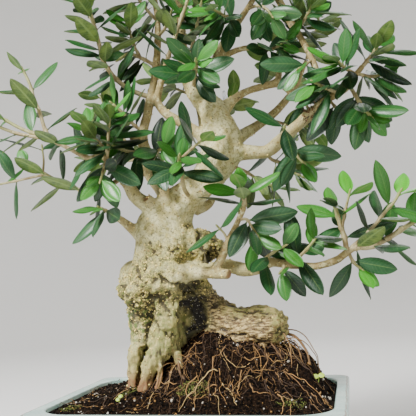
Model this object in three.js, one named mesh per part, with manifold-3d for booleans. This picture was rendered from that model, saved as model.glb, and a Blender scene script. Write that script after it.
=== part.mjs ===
// An olive bonsai in its glazed pot, in millimetres, +Z up.
// The origin is on the surface the pot stands on, under the middle of the pot. The front is -Y.
import * as THREE from 'three';
import { mergeVertices } from 'three/addons/utils/BufferGeometryUtils.js';
import Module from 'manifold-3d';

const wasm = await Module();
wasm.setup();

// ---------------------------------------------------------------- driving dimensions

const GAP = 0.3; // between solids that touch

const POT = { length: 210, depth: 162, height: 70, corner: 9, foot: 7, floor: 8 };
const WALL = { base: 10, bevel: 2, bevelHeight: 3, underLip: 4, edge: 1.5 }; // insets of the outside
const OPENING = { rim: 9, wall: 7, corner: 24, lip: 9 };
const FOOT = { length: 34, depth: 24, inset: 15, corner: 6, taper: 2 };
const DRAIN = { radius: 8, spacing: 90 };
const SCREEN = { size: 30, thickness: 1.2, hole: 6, pitch: 8.4 };

const SOIL_LEVEL = 67; // where the soil meets the pot wall
const SOIL_EDGE = 16; // over which it rises from the wall to the mound
const MOUNDS = [ // [x, y, height, half width, half depth]
  [42, 9, 39, 58, 46],
  [-26, 6, 15, 42, 42],
  [4, -4, 14, 22, 24],
];

const FLUTES = { depth: 0.07, old: 16 }; // a share of the wood's radius, full from the old radius on

const LEAF = { length: 30, width: 11.8, thickness: 1.3, sag: 0.13 };
const LEAF_ROOT = 0.3; // how far out in its stem a leaf begins, as a share of the stem's radius
const LAST_PAIR = 0.97; // where the last pair stands, as a share of its stem
const STEM_TAPER = 0.35; // how much of its thickness a stem loses from its root to its tip
const BLADE_STATIONS = [0, 0.3, 0.68, 1]; // along the blade, from its root to its tip
const BLADE_WIDTHS = [0.06, 0.94, 0.94, 0]; // of its full width, at the stations
const BLADE_DEPTHS = [0.6, 1, 1, 1]; // of its full thickness, at the stations
const LEAF_ANGLE = { spread: 64, closing: 24, droop: 0.16 }; // to the stem, in degrees
// How far leaves keep from other twigs and from their own, but for the part of a leaf next to its root
// where its pair or its stem may touch it.
const LEAF_GAP = { other: 1.3, own: 0.2, pair: 0.3, stem: 0.4 };
// How much two leaves of a stem differ: the angles in degrees, and the length as a share of the full one.
const LEAF_DRAW = { turn: 16, spread: 16, twist: 50, shortest: 0.86, longest: 1.16, tip: 0.7 };
// Where the faces lean: along the stem, up, and away from the crown's middle plane, near which they turn.
const LIGHT = { along: 0.55, up: 0.45, outward: 0.5, middle: 8, turning: 15 };
const TURNS = [0, 24, -24, 48, -48, 72, -72]; // round the stem that a leaf may be turned to clear a neighbour
const FALLEN = 0.05; // the share of leaves that have dropped
const SEED = { first: 7001, next: 613 }; // of the draws for each twig's leaves
const SMALLEST = 0.15; // detail below this is dropped from a finished solid
const SMALLEST_ON_TWIG = 0.4;

// ---------------------------------------------------------------- the wood, as routes

// Each point is [x, y, z, radius].
const WOOD = {
  bole: [
    [-33, -2, 104, 17], [-33, 0, 118, 17.5], [-33, 2, 129, 20], [-30, 2, 140, 27], [-27, 2, 151, 31],
    [-23, 0, 162, 27.5], [-22, 0, 176, 25.5], [-22, 0, 188, 24], [-18, 0, 199, 19], [-11, 0, 209, 14],
    [-1, 0, 217, 11.5], [8, 0, 224, 11.5], [17, 0, 235, 13.5], [23, 0, 247, 15.2], [22, 0, 260, 14],
    [19, 0, 274, 11], [18, 0, 286, 7],
  ],
  left_leg: [
    [-40, -6, 122, 9], [-42, -10, 108, 6.5], [-45, -13, 99, 6.2], [-45, -15, 90, 5.4], [-45, -16, 83, 5],
    [-49, -19, 62, 3.5],
  ],
  middle_leg: [
    [-21, -10, 121, 11], [-21, -17, 110, 9.5], [-26, -22, 100, 7], [-31, -25, 91, 5.2], [-33, -27, 83, 5],
    [-36, -30, 62, 3.5],
  ],
  side_leg: [
    [-18, -12, 114, 8], [-14, -17, 105, 5], [-11, -20, 97, 3.2], [-9, -22, 90, 2.2], [-8, -23, 82, 1.6],
  ],
  bridge: [[-10, -2, 156, 14], [-2, 2, 142, 13], [2, 8, 128, 14]],
  small_root: [[-23, -23, 98, 3.4], [-22, -27, 90, 2.2], [-24, -29, 81, 1.8], [-26, -31, 66, 1.4]],
  back_leg: [[-30, 12, 119, 13], [-27, 26, 102, 9], [-22, 36, 86, 6], [-14, 44, 64, 4]],
  heart_root: [[-16, 6, 122, 12], [-13, 5, 104, 10], [-10, 4, 90, 7], [-8, 4, 76, 4]],
  log: [
    [-14, 14, 126, 17], [4, 12, 123, 18], [16, 12, 119, 16.5], [29, 10, 115, 15.5], [43, 8, 115, 15.5],
    [53, 6, 115, 15], [59, 4, 113, 11],
  ],
  low_stub: [[-39, -6, 185, 6], [-45, -12, 192, 3.9], [-51, -17, 198, 3], [-58, -21, 204, 1.9]],
  left_limb: [
    [-25, -4, 201, 9], [-35, -10, 210, 6], [-41, -14, 216, 5.2], [-45, -18, 224, 4.4], [-49, -22, 231, 3.6],
    [-54, -26, 238, 2.8], [-61, -30, 246, 2.1],
  ],
  stub_low: [[-19, -8, 204, 7], [-27, -14, 209, 4.6], [-31, -18, 213, 4.2]],
  stub_high: [[-16, -10, 206, 6], [-18, -14, 214, 4.2], [-18, -16, 220, 4]],
  left_leader: [
    [-14, 2, 205, 8], [-23, 3, 216, 5.4], [-31, 2, 237, 4.4], [-37, 0, 255, 4.6], [-37, -2, 266, 3.9],
    [-33, -3, 279, 3.5], [-30, -3, 291, 3.3], [-27, -2, 305, 3.1], [-25, 0, 321, 3], [-24, 2, 339, 2.8],
    [-24, 4, 356, 2.6], [-26, 5, 373, 2.3], [-28, 6, 392, 1.7],
  ],
  knob: [[-37, 0, 259, 4], [-41, -5, 261, 3.7], [-44, -9, 262, 3.5]],
  cross: [
    [14, -3, 254, 7], [6, -6, 262, 4.4], [-6, -7, 270, 3.8], [-17, -7, 278, 3.4], [-23, -6, 287, 3.2],
    [-22, -7, 295, 2.9], [-18, -9, 305, 2.6], [-14, -10, 317, 2.3],
  ],
  left_fork: [
    [18, 2, 275, 9], [10, 4, 284, 7], [3, 6, 296, 6.2], [-3, 8, 309, 5.4], [-6, 10, 325, 4.4],
    [-7, 12, 346, 3.6], [-8, 14, 366, 3], [-10, 15, 385, 2.4], [-12, 16, 403, 1.7],
  ],
  centre_fork: [
    [18, -2, 280, 6.5], [17, -3, 292, 3.6], [19, -4, 304, 3.3], [23, -4, 316, 3.5], [28, -4, 326, 3.1],
    [34, -3, 335, 2.9], [41, -2, 344, 2.7], [47, 0, 353, 2.5], [54, 2, 364, 2.4], [60, 4, 379, 2.1],
    [64, 6, 393, 1.6],
  ],
  mid_side: [[23, -3, 316, 3], [32, 0, 321, 2.7], [40, 2, 324, 2.2], [49, 4, 325, 1.9], [57, 6, 323, 1.4]],
  right_upper: [
    [23, 4, 278, 7], [32, 6, 286, 3.8], [41, 8, 292, 3], [51, 10, 295, 2.8], [60, 12, 297, 3],
    [68, 13, 298, 3.6], [73, 13, 293, 2.7], [77, 13, 288, 2], [81, 12, 285, 1.4],
  ],
  right_upper_shoot: [[67, 13, 299, 2.8], [68, 14, 307, 2.4], [71, 15, 315, 1.9], [74, 16, 324, 1.4]],
  right_limb: [
    [26, 0, 246, 11], [39, 2, 245, 6.4], [49, 2, 244, 5.2], [57, 0, 244, 4.7], [65, -4, 248, 4.8],
    [73, -8, 253, 4.4], [82, -12, 259, 4], [90, -16, 264, 4.4], [96, -18, 268, 3.8], [103, -20, 273, 2.8],
    [111, -22, 276, 2.5], [118, -24, 280, 2.5], [123, -26, 286, 2.1], [129, -28, 292, 1.8],
  ],
  droop: [
    [56, 3, 368, 2.4], [66, 3, 368, 2.6], [73, 2, 356, 2.8], [79, 0, 341, 2.9], [86, -4, 327, 2.7],
    [92, -6, 313, 2.6], [97, -8, 298, 2.4],
  ],
  low_branch: [[-4, -16, 158, 7], [10, -22, 157, 4.4], [21, -25, 156, 3.9], [30, -28, 155, 3.5]],
  rising: [
    [18, -24, 157, 3.6], [25, -26, 167, 3.2], [30, -27, 177, 2.8], [36, -28, 188, 2.3], [43, -29, 201, 1.9],
  ],
  low_limb: [
    [-8, -8, 160, 9], [10, -12, 159, 6], [25, -12, 161, 5.2], [37, -14, 158, 5], [47, -16, 158, 4.4],
    [58, -18, 162, 3.6], [71, -22, 160, 3.1], [88, -26, 158, 2.8], [102, -28, 161, 2.7], [110, -30, 166, 2.6],
  ],
  burl_wedge: [[0, -2, 178, 14], [12, -4, 175, 11], [21, -5, 174, 6]],
  neck_stub: [[0, 6, 206, 6], [7, 12, 208, 4], [12, 16, 213, 2.6]],
  back_left: [
    [-16, 6, 203, 8], [-30, 24, 220, 5], [-46, 40, 238, 3.8], [-62, 50, 258, 2.8], [-76, 54, 280, 1.9],
  ],
  back_middle: [
    [14, 6, 232, 8], [6, 28, 256, 4.8], [0, 44, 282, 3.8], [-6, 52, 310, 2.8], [-8, 56, 338, 1.9],
  ],
  back_right: [
    [25, 4, 252, 8], [42, 24, 266, 4.4], [60, 40, 282, 3.4], [76, 48, 302, 2.6], [86, 52, 324, 1.9],
  ],
};

// Swellings on the bole: [x, y, z, radius].
const BURLS = [
  [-49, -7, 146, 9.5], [-37, -20, 144, 11], [-10, -21, 156, 10], [-34, 22, 150, 11], [-8, 19, 160, 11],
];

// ---------------------------------------------------------------- the leafy twigs, as routes

// A stem is "thick" from its axis to its bark at its root. Its leaves stand in opposite pairs, each
// pair a quarter turn on from the last, from the fraction "from" of its length on.
const TWIGS = {
  far_left: [
    { thick: 2.1, pairs: 4, from: 0.14, turn: 20, route: [
      [-61, -30, 246], [-67, -32, 244], [-73, -33, 245], [-83, -35, 251], [-97, -37, 259],
      [-109, -38, 264], [-120, -39, 269], [-133, -40, 277],
    ] },
    { thick: 1.8, pairs: 2, from: 0.55, turn: 60, route: [
      [-97, -37, 259], [-110, -38, 262], [-122, -39, 265], [-134, -41, 270], [-143, -42, 274],
    ] },
    { thick: 1.9, pairs: 4, from: 0.14, turn: 10, route: [
      [-97, -37, 259], [-102, -36, 268], [-106, -35, 280], [-111, -34, 292], [-115, -33, 304],
      [-121, -32, 316],
    ] },
  ],
  low_left: [
    { thick: 2.2, pairs: 5, from: 0.2, turn: 20, route: [
      [-51, -20, 228], [-60, -19, 224], [-69, -17, 221], [-82, -13, 222], [-92, -11, 227],
      [-104, -10, 232], [-116, -10, 239], [-126, -10, 243], [-134, -10, 247],
    ] },
    { thick: 1.3, pairs: 2, from: 0.5, turn: 0, route: [
      [-116, -10, 238], [-128, -12, 236], [-139, -14, 234], [-152, -16, 232], [-160, -17, 230],
    ] },
    { thick: 1.2, pairs: 1, from: 0.9, turn: 80, route: [
      [-117, -10, 239], [-115, -12, 248], [-115, -14, 258],
    ] },
  ],
  left_end: [
    { thick: 1.5, pairs: 4, from: 0.25, turn: 0, route: [
      [-57, -28, 242], [-55, -33, 247], [-59, -37, 253], [-65, -39, 260], [-67, -40, 267],
    ] },
    { thick: 1.5, pairs: 4, from: 0.25, turn: 60, route: [
      [-57, -28, 242], [-54, -33, 250], [-52, -36, 263], [-50, -37, 275],
    ] },
    { thick: 1.4, pairs: 3, from: 0.3, turn: 0, route: [
      [-57, -29, 242], [-57, -36, 233], [-57, -42, 225],
    ] },
  ],
  low_stub_end: [
    { thick: 1.7, pairs: 2, from: 0.55, turn: 0, route: [
      [-57, -21, 203], [-60, -24, 205], [-63, -28, 207],
    ] },
  ],
  front_shoot: [
    { thick: 2, pairs: 3, from: 0.6, turn: 10, route: [
      [-1, -6, 212], [-2, -19, 218], [-1, -30, 227], [1, -42, 233], [4, -52, 236],
    ] },
    { thick: 1.4, pairs: 2, from: 0.6, turn: 0, route: [[2, -45, 234], [11, -49, 240], [20, -50, 246]] },
  ],
  mid_left: [
    { thick: 1.5, pairs: 3, from: 0.4, turn: 0, route: [[-33, 2, 243], [-23, -12, 248], [-15, -22, 250]] },
  ],
  mid_left_back: [
    { thick: 1.6, pairs: 4, from: 0.3, turn: 0, route: [
      [-37, 0, 253], [-42, -8, 250], [-49, -14, 251], [-55, -18, 254],
    ] },
  ],
  left_cluster: [
    { thick: 1.6, pairs: 5, from: 0.25, turn: 0, route: [
      [-37, -2, 266], [-44, -8, 273], [-49, -14, 280], [-55, -18, 286],
    ] },
  ],
  top_left: [
    { thick: 2.3, pairs: 9, from: 0.26, turn: 0, route: [
      [-30, -3, 293], [-37, -7, 295], [-45, -10, 299], [-53, -14, 306], [-57, -18, 312], [-61, -20, 320],
      [-63, -22, 332], [-66, -24, 347], [-70, -26, 362], [-72, -27, 377], [-73, -28, 386],
    ] },
  ],
  left_leader_side: [
    { thick: 1.8, pairs: 4, from: 0.3, turn: 0, route: [
      [-26, 0, 318], [-34, -4, 323], [-44, -8, 327], [-51, -12, 322],
    ] },
    { thick: 1.4, pairs: 5, from: 0.15, turn: 30, route: [
      [-36, -5, 324], [-40, -8, 333], [-42, -10, 342], [-43, -12, 352],
    ] },
  ],
  young_shoot: [
    { thick: 2, pairs: 5, from: 0.06, turn: 0, route: [
      [-14, -10, 317], [-9, -12, 328], [-2, -13, 344], [4, -14, 358], [8, -14, 372], [11, -14, 382],
    ] },
  ],
  left_leader_top: [
    { thick: 1.6, pairs: 5, from: 0.15, turn: 0, route: [[-28, 6, 391], [-29, 6, 402], [-29, 5, 414]] },
  ],
  left_leader_left: [
    { thick: 1.5, pairs: 5, from: 0.25, turn: 0, route: [
      [-24, 4, 355], [-32, 2, 365], [-38, -2, 374], [-43, -4, 383],
    ] },
  ],
  left_leader_right: [
    { thick: 1.5, pairs: 4, from: 0.3, turn: 0, route: [[-24, 2, 341], [-15, -4, 347], [-10, -6, 357]] },
  ],
  left_fork_front: [
    { thick: 1.8, pairs: 4, from: 0.4, turn: 0, route: [
      [2, 5, 299], [8, -12, 303], [12, -24, 305], [14, -34, 307],
    ] },
  ],
  left_fork_up: [
    { thick: 1.6, pairs: 5, from: 0.3, turn: 0, route: [
      [-6, 10, 324], [3, 2, 330], [7, -2, 339], [11, -5, 350], [14, -6, 362],
    ] },
  ],
  left_fork_top: [
    { thick: 1.6, pairs: 5, from: 0.15, turn: 0, route: [[-12, 16, 403], [-13, 16, 415], [-13, 15, 425]] },
  ],
  left_fork_back: [
    { thick: 1.5, pairs: 4, from: 0.3, turn: 0, route: [
      [-8, 14, 370], [-2, 20, 381], [4, 24, 391], [9, 26, 401],
    ] },
  ],
  centre_front: [
    { thick: 1.5, pairs: 4, from: 0.3, turn: 0, route: [
      [40, -2, 343], [36, -14, 343], [31, -22, 344], [26, -28, 346],
    ] },
  ],
  centre_right: [
    { thick: 1.5, pairs: 4, from: 0.3, turn: 0, route: [
      [48, 0, 354], [57, -6, 353], [64, -14, 346], [68, -20, 338],
    ] },
  ],
  centre_top: [
    { thick: 1.6, pairs: 5, from: 0.15, turn: 0, route: [[64, 6, 393], [67, 6, 404], [69, 5, 413]] },
  ],
  centre_left_top: [
    { thick: 1.5, pairs: 3, from: 0.35, turn: 0, route: [[57, 3, 374], [50, -4, 380], [44, -8, 386]] },
  ],
  mid_side_end: [
    { thick: 1.3, pairs: 4, from: 0.2, turn: 0, route: [
      [57, 6, 323], [63, 2, 321], [70, -4, 321], [75, -8, 322],
    ] },
  ],
  right_upper_end: [
    { thick: 1.3, pairs: 2, from: 0.5, turn: 0, route: [[81, 12, 285], [86, 8, 279], [90, 4, 273]] },
  ],
  right_upper_top: [
    { thick: 1.3, pairs: 5, from: 0.2, turn: 0, route: [
      [74, 16, 324], [78, 14, 333], [83, 12, 341], [87, 10, 351],
    ] },
  ],
  droop_side: [
    { thick: 1.5, pairs: 4, from: 0.3, turn: 0, route: [
      [83, -2, 333], [89, -6, 336], [93, -10, 340], [97, -12, 346],
    ] },
  ],
  droop_top: [
    { thick: 1.5, pairs: 4, from: 0.3, turn: 0, route: [
      [66, 3, 369], [72, 2, 378], [77, 0, 384], [82, -2, 390],
    ] },
  ],
  droop_low: [
    { thick: 1.4, pairs: 2, from: 0.5, turn: 0, route: [[94, -7, 307], [89, -14, 301], [85, -20, 297]] },
  ],
  right_end: [
    { thick: 1.8, pairs: 4, from: 0.25, turn: 0, route: [
      [129, -28, 292], [132, -29, 295], [136, -30, 299], [139, -31, 304],
    ] },
  ],
  right_end_back: [
    { thick: 1.5, pairs: 4, from: 0.3, turn: 0, route: [
      [124, -26, 287], [117, -32, 290], [112, -36, 295],
    ] },
  ],
  right_end_right: [
    { thick: 1.5, pairs: 4, from: 0.25, turn: 60, route: [
      [125, -27, 287], [133, -24, 285], [142, -22, 286],
    ] },
  ],
  right_low: [
    { thick: 1.7, pairs: 4, from: 0.35, turn: 0, route: [
      [119, -24, 280], [123, -30, 270], [127, -34, 261], [131, -36, 255],
    ] },
  ],
  right_left: [
    { thick: 1.5, pairs: 3, from: 0.4, turn: 0, route: [[111, -22, 276], [103, -32, 278], [96, -38, 281]] },
  ],
  right_under: [
    { thick: 1.4, pairs: 2, from: 0.5, turn: 0, route: [
      [104, -20, 273], [108, -24, 267], [111, -28, 260],
    ] },
  ],
  right_mid: [
    { thick: 1.5, pairs: 1, from: 0.8, turn: 0, route: [[67, -4, 249], [71, -14, 253], [73, -22, 256]] },
  ],
  right_mid_low: [
    { thick: 1.5, pairs: 2, from: 0.5, turn: 0, route: [
      [73, -8, 252], [76, -10, 244], [80, -12, 236], [84, -13, 231],
    ] },
  ],
  right_dark: [
    { thick: 1.6, pairs: 4, from: 0.35, turn: 0, route: [
      [56, 0, 243], [60, 4, 238], [67, 6, 235], [73, 8, 229], [80, 8, 225],
    ] },
  ],
  neck_right: [
    { thick: 1.6, pairs: 3, from: 0.45, turn: 0, route: [
      [26, 2, 236], [36, 5, 233], [44, 10, 228], [52, 14, 222], [58, 14, 220],
    ] },
  ],
  rising_end: [
    { thick: 1.8, pairs: 4, from: 0.15, turn: 0, route: [[43, -29, 201], [43, -30, 207], [42, -32, 214]] },
  ],
  rising_right: [
    { thick: 1.3, pairs: 3, from: 0.35, turn: 0, route: [
      [38, -28, 192], [44, -30, 192], [48, -31, 186], [52, -32, 179],
    ] },
  ],
  rising_left: [
    { thick: 1.2, pairs: 1, from: 0.8, turn: 0, route: [[30, -27, 177], [28, -30, 183], [25, -33, 187]] },
  ],
  low_limb_a: [
    { thick: 1.5, pairs: 3, from: 0.35, turn: 0, route: [
      [47, -16, 159], [55, -24, 165], [62, -30, 169], [69, -34, 172],
    ] },
  ],
  low_limb_b: [
    { thick: 1.5, pairs: 3, from: 0.35, turn: 0, route: [
      [71, -22, 160], [79, -30, 165], [85, -36, 170], [90, -40, 175],
    ] },
  ],
  low_limb_c: [
    { thick: 1.4, pairs: 2, from: 0.5, turn: 0, route: [[66, -20, 160], [68, -30, 158], [66, -36, 155]] },
  ],
  far_right: [
    { thick: 2.2, pairs: 4, from: 0.3, turn: 0, route: [
      [110, -30, 166], [109, -32, 176], [107, -34, 184], [105, -36, 193], [104, -37, 198],
    ] },
    { thick: 1.3, pairs: 2, from: 0.5, turn: 30, route: [
      [108, -34, 183], [111, -36, 194], [114, -37, 204],
    ] },
    { thick: 2.5, pairs: 6, from: 0.12, turn: 0, route: [
      [110, -30, 166], [116, -30, 169], [125, -29, 169], [137, -27, 174], [147, -25, 180],
      [156, -23, 185], [164, -21, 189],
    ] },
    { thick: 1.6, pairs: 4, from: 0.35, turn: 20, route: [
      [113, -30, 169], [123, -32, 177], [131, -33, 185], [137, -34, 192], [142, -35, 197],
      [146, -36, 203],
    ] },
    { thick: 1.4, pairs: 2, from: 0.5, turn: 0, route: [
      [111, -30, 166], [114, -32, 159], [118, -34, 155],
    ] },
  ],
};

// Twigs that fill the back of the crown, spaced by a rule along the limbs there: the first one
// stands at "first" and the last one at its limb's tip, each "spiral" degrees on round the limb.
// One that isn't free goes on round it by "step", and "room" is how clear it keeps of other wood.
const BACK_TWIGS = {
  limbs: ['back_left', 'back_middle', 'back_right'], each: 3, length: 38, pairs: 3, thick: 1.5,
  first: 0.45, spiral: 137.5, step: 30, room: 6, rise: 0.25, bend: 2,
};
const BACK_SIDE = { from: 0.35, along: 0.4, out: 0.9 }; // how a side twig leans, and where its leaves begin
const BACK_TIP = { from: 0.2, along: 1, out: 0.2 };
const BACK_BAND = { from: 20, to: POT.depth / 2 - 20 }; // how far back their ends may be

// ---------------------------------------------------------------- vectors and seeded draws

const UP = new THREE.Vector3(0, 0, 1);
const DEPTH = new THREE.Vector3(0, 1, 0);
const vector = ([x, y, z]) => new THREE.Vector3(x, y, z);
const radians = THREE.MathUtils.degToRad;

// A stream of even draws from 0 to 1, the same on every run.
function drawsFrom(seed) {
  let state = seed;
  return () => {
    state = (state * 48271) % 2147483647;
    return state / 2147483647;
  };
}

// A unit vector square to a direction, in the plane of the crown's front where it can be.
function squareTo(along) {
  const across = DEPTH.clone().cross(along);
  if (across.length() < 0.2) across.set(1, 0, 0).cross(along);
  return across.normalize();
}

// ---------------------------------------------------------------- wood

// The rings of a route: one at each of its points, square to its run, with no twist between them.
function ringsOf(route, radii) {
  const points = route.map(vector);
  const last = points.length - 1;
  let across = null;
  return points.map((at, i) => {
    const along = points[Math.min(i + 1, last)].clone().sub(points[Math.max(i - 1, 0)]).normalize();
    across ??= squareTo(along);
    across = across.clone().addScaledVector(along, -across.dot(along)).normalize();
    return { at, along, across, off: along.clone().cross(across), radius: radii[i] };
  });
}

const woodRings = (route) => ringsOf(route, route.map((point) => point[3]));

// A stem thins evenly to its tip.
const stemRings = ({ route, thick }) => (
  ringsOf(route, route.map((_, i) => thick * (1 - (STEM_TAPER * i) / (route.length - 1))))
);

// Old thick wood is fluted; thin wood is round.
function fluted(radius, angle, height) {
  const age = Math.min(radius / FLUTES.old, 1) ** 2;
  const ripple = Math.sin(3 * angle + height / 13) + 0.7 * Math.sin(5 * angle - height / 7);
  return radius * (1 + FLUTES.depth * age * ripple);
}

// A closed tube round the rings, as a cylinder bent along them: turned round itself by "turn"
// degrees and grown outwards by "grow".
function tube(rings, sides, { grow = 0, turn = 0 } = {}) {
  const last = rings.length - 1;
  const cylinder = new THREE.CylinderGeometry(1, 1, 1, sides, last);
  const position = cylinder.getAttribute('position');
  for (let i = 0; i < position.count; i++) {
    const step = Math.round((0.5 - position.getY(i)) * last);
    const { at, along, across, off, radius } = rings[step];
    const [x, z] = [position.getX(i), position.getZ(i)];
    const angle = Math.atan2(z, x) + radians(turn);
    const reach = Math.hypot(x, z) * (fluted(radius, angle, at.z) + grow);
    const moved = at.clone()
      .addScaledVector(across, Math.cos(angle) * reach)
      .addScaledVector(off, Math.sin(angle) * reach)
      .addScaledVector(along, step === 0 ? -grow : step === last ? grow : 0);
    position.setXYZ(i, moved.x, moved.y, moved.z);
  }
  return solidOf(cylinder);
}

function ball([x, y, z, radius], grow = 0) {
  const geometry = new THREE.IcosahedronGeometry(radius + grow, 1);
  return solidOf(geometry.translate(x, y, z));
}

const sidesFor = (radius) => (radius > 12 ? 12 : radius > 6 ? 8 : radius > 3.5 ? 6 : 5);
const STEM_SIDES = 4;

// ---------------------------------------------------------------- solids and meshes

// A closed geometry as a solid: only its positions count, with shared corners merged.
function solidOf(geometry) {
  const bare = new THREE.BufferGeometry();
  bare.setAttribute('position', geometry.getAttribute('position'));
  bare.setIndex(geometry.index);
  const merged = mergeVertices(bare, 1e-4);
  return new wasm.Manifold(new wasm.Mesh({
    numProp: 3,
    vertProperties: new Float32Array(merged.getAttribute('position').array),
    triVerts: new Uint32Array(merged.index.array),
  }));
}

const joined = (solids) => solids.reduce((whole, solid) => whole.add(solid));

const boxOf = (solid) => {
  const { min, max } = solid.boundingBox();
  return new THREE.Box3(vector(min), vector(max));
};

// A solid's outer surface alone: loose scrap is dropped and a sealed hollow is filled.
function largest(solid) {
  const { vertProperties, triVerts } = solid.getMesh();
  const shell = Array.from({ length: vertProperties.length / 3 }, (_, corner) => corner);
  const shellOf = (corner) => {
    while (shell[corner] !== corner) corner = shell[corner];
    return corner;
  };
  const triangles = [];
  for (let i = 0; i < triVerts.length; i += 3) triangles.push([...triVerts.slice(i, i + 3)]);
  for (const [a, b, c] of triangles) {
    shell[shellOf(b)] = shellOf(a);
    shell[shellOf(c)] = shellOf(a);
  }
  const corner = (i) => vector(vertProperties.slice(3 * i, 3 * i + 3));
  const volumes = {};
  for (const [a, b, c] of triangles) {
    const outer = shellOf(a);
    volumes[outer] = (volumes[outer] ?? 0) + corner(a).dot(corner(b).cross(corner(c))) / 6;
  }
  const [biggest] = Object.keys(volumes).sort((one, other) => volumes[other] - volumes[one]);
  const kept = triangles.filter(([a]) => shellOf(a) === Number(biggest));
  const geometry = new THREE.BufferGeometry();
  geometry.setAttribute('position', new THREE.BufferAttribute(vertProperties, 3));
  return solidOf(geometry.setIndex(kept.flat()));
}

// Cuts a solid back from its neighbours.
function cutBack(solid, neighbours) {
  const room = boxOf(solid);
  const near = neighbours.filter(({ box }) => box.intersectsBox(room));
  return largest(near.reduce((rest, { grown }) => rest.subtract(grown), solid));
}

// A named mesh of a solid, placed by its root, without detail below the smallest that counts.
function meshOf(name, solid, material, root = new THREE.Vector3(), smallest = SMALLEST) {
  const { vertProperties, triVerts } = largest(solid.simplify(smallest)).getMesh();
  const geometry = new THREE.BufferGeometry();
  geometry.setAttribute('position', new THREE.BufferAttribute(vertProperties, 3));
  geometry.setIndex(new THREE.BufferAttribute(triVerts, 1));
  geometry.translate(-root.x, -root.y, -root.z);
  geometry.computeVertexNormals();
  const mesh = new THREE.Mesh(geometry, material);
  mesh.name = name;
  mesh.position.copy(root);
  return mesh;
}

// ---------------------------------------------------------------- leaves

// A value that is given at the blade's stations, at a fraction of its length.
function between(values, part) {
  const i = part < BLADE_STATIONS[1] ? 0 : part < BLADE_STATIONS[2] ? 1 : 2;
  return THREE.MathUtils.mapLinear(part, BLADE_STATIONS[i], BLADE_STATIONS[i + 1], values[i], values[i + 1]);
}

const halfWidth = (leaf, part) => (leaf.width * between(BLADE_WIDTHS, part)) / 2;

// How far a leaf has bent down from its straight line at a fraction of its length.
const sagOf = (leaf, part) => LEAF.sag * leaf.length * part * part;

// A point of a leaf: "part" of the way to its tip, "side" from -1 to 1 across it and "depth" under
// its face.
function pointOn(leaf, part, side, depth) {
  return leaf.root.clone()
    .addScaledVector(leaf.reach, part * leaf.length)
    .addScaledVector(leaf.side, side * halfWidth(leaf, part))
    .addScaledVector(leaf.face, -sagOf(leaf, part) - depth);
}

// A leaf of a stem at a place on it, turned round the stem by "roll", its face towards the light.
function leafOn(stem, { at, along, radius }, roll, spread, twist, length) {
  const across = squareTo(along);
  const radial = across.clone().multiplyScalar(Math.cos(roll))
    .addScaledVector(along.clone().cross(across), Math.sin(roll));
  const reach = along.clone().multiplyScalar(Math.cos(spread)).addScaledVector(radial, Math.sin(spread));
  reach.z -= LEAF_ANGLE.droop;
  reach.normalize();
  const outward = LIGHT.outward * Math.tanh((at.y - LIGHT.middle) / LIGHT.turning);
  const level = along.clone().multiplyScalar(LIGHT.along)
    .addScaledVector(UP, LIGHT.up).addScaledVector(DEPTH, outward);
  level.addScaledVector(reach, -level.dot(reach)).normalize();
  const face = level.clone().multiplyScalar(Math.cos(twist))
    .addScaledVector(reach.clone().cross(level), Math.sin(twist));
  const leaf = {
    stem, reach, face, length,
    root: at.clone().addScaledVector(radial, LEAF_ROOT * radius),
    side: face.clone().cross(reach),
    width: LEAF.width * Math.sqrt(length / LEAF.length),
  };
  leaf.middle = pointOn(leaf, 0.5, 0, 0);
  leaf.samples = samplesOf(leaf);
  return leaf;
}

// Points in the middle of a leaf's thickness, from near its root to its tip.
function samplesOf(leaf) {
  const samples = [];
  for (let i = 1; i <= 9; i++) {
    for (const side of [-1, 0, 1]) {
      samples.push({ part: i / 9, point: pointOn(leaf, i / 9, side, LEAF.thickness / 2) });
    }
  }
  return samples;
}

// Whether a point is in a leaf, or closer to it than a clearance.
function inLeaf(leaf, point, clearance) {
  const from = point.clone().sub(leaf.root);
  const reach = from.dot(leaf.reach);
  if (reach < -clearance || reach > leaf.length + clearance) return false;
  const part = THREE.MathUtils.clamp(reach / leaf.length, 0, 1);
  if (Math.abs(from.dot(leaf.side)) > halfWidth(leaf, part) + clearance) return false;
  const depth = -from.dot(leaf.face) - sagOf(leaf, part);
  return depth > -clearance && depth < LEAF.thickness + clearance;
}

function leavesMeet(one, other) {
  if (one.middle.distanceTo(other.middle) > (one.length + other.length) / 2 + LEAF_GAP.other) return false;
  const sameTwig = one.stem.twig === other.stem.twig;
  const clearance = sameTwig ? LEAF_GAP.own : LEAF_GAP.other;
  const rootPart = sameTwig ? LEAF_GAP.pair : 0;
  const reaches = (from, into) => (
    from.samples.some(({ part, point }) => part > rootPart && inLeaf(into, point, clearance))
  );
  return reaches(one, other) || reaches(other, one);
}

// How far a point is outside a stretch of round wood.
function outside(stretch, point) {
  const along = point.clone().sub(stretch.from).dot(stretch.run) / stretch.run.lengthSq();
  const share = THREE.MathUtils.clamp(along, 0, 1);
  const nearest = stretch.from.clone().addScaledVector(stretch.run, share);
  return nearest.distanceTo(point) - THREE.MathUtils.lerp(stretch.thick, stretch.thin, share);
}

function leafMeetsWood(leaf, stretches) {
  return stretches.some((stretch) => {
    if (outside(stretch, leaf.middle) > leaf.length / 2 + LEAF_GAP.other) return false;
    const own = stretch.twig === leaf.stem.twig;
    const clearance = own ? LEAF_GAP.own : LEAF_GAP.other;
    const rootPart = own ? LEAF_GAP.stem : 0;
    return leaf.samples.some(({ part, point }) => part > rootPart && outside(stretch, point) < clearance);
  });
}

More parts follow.
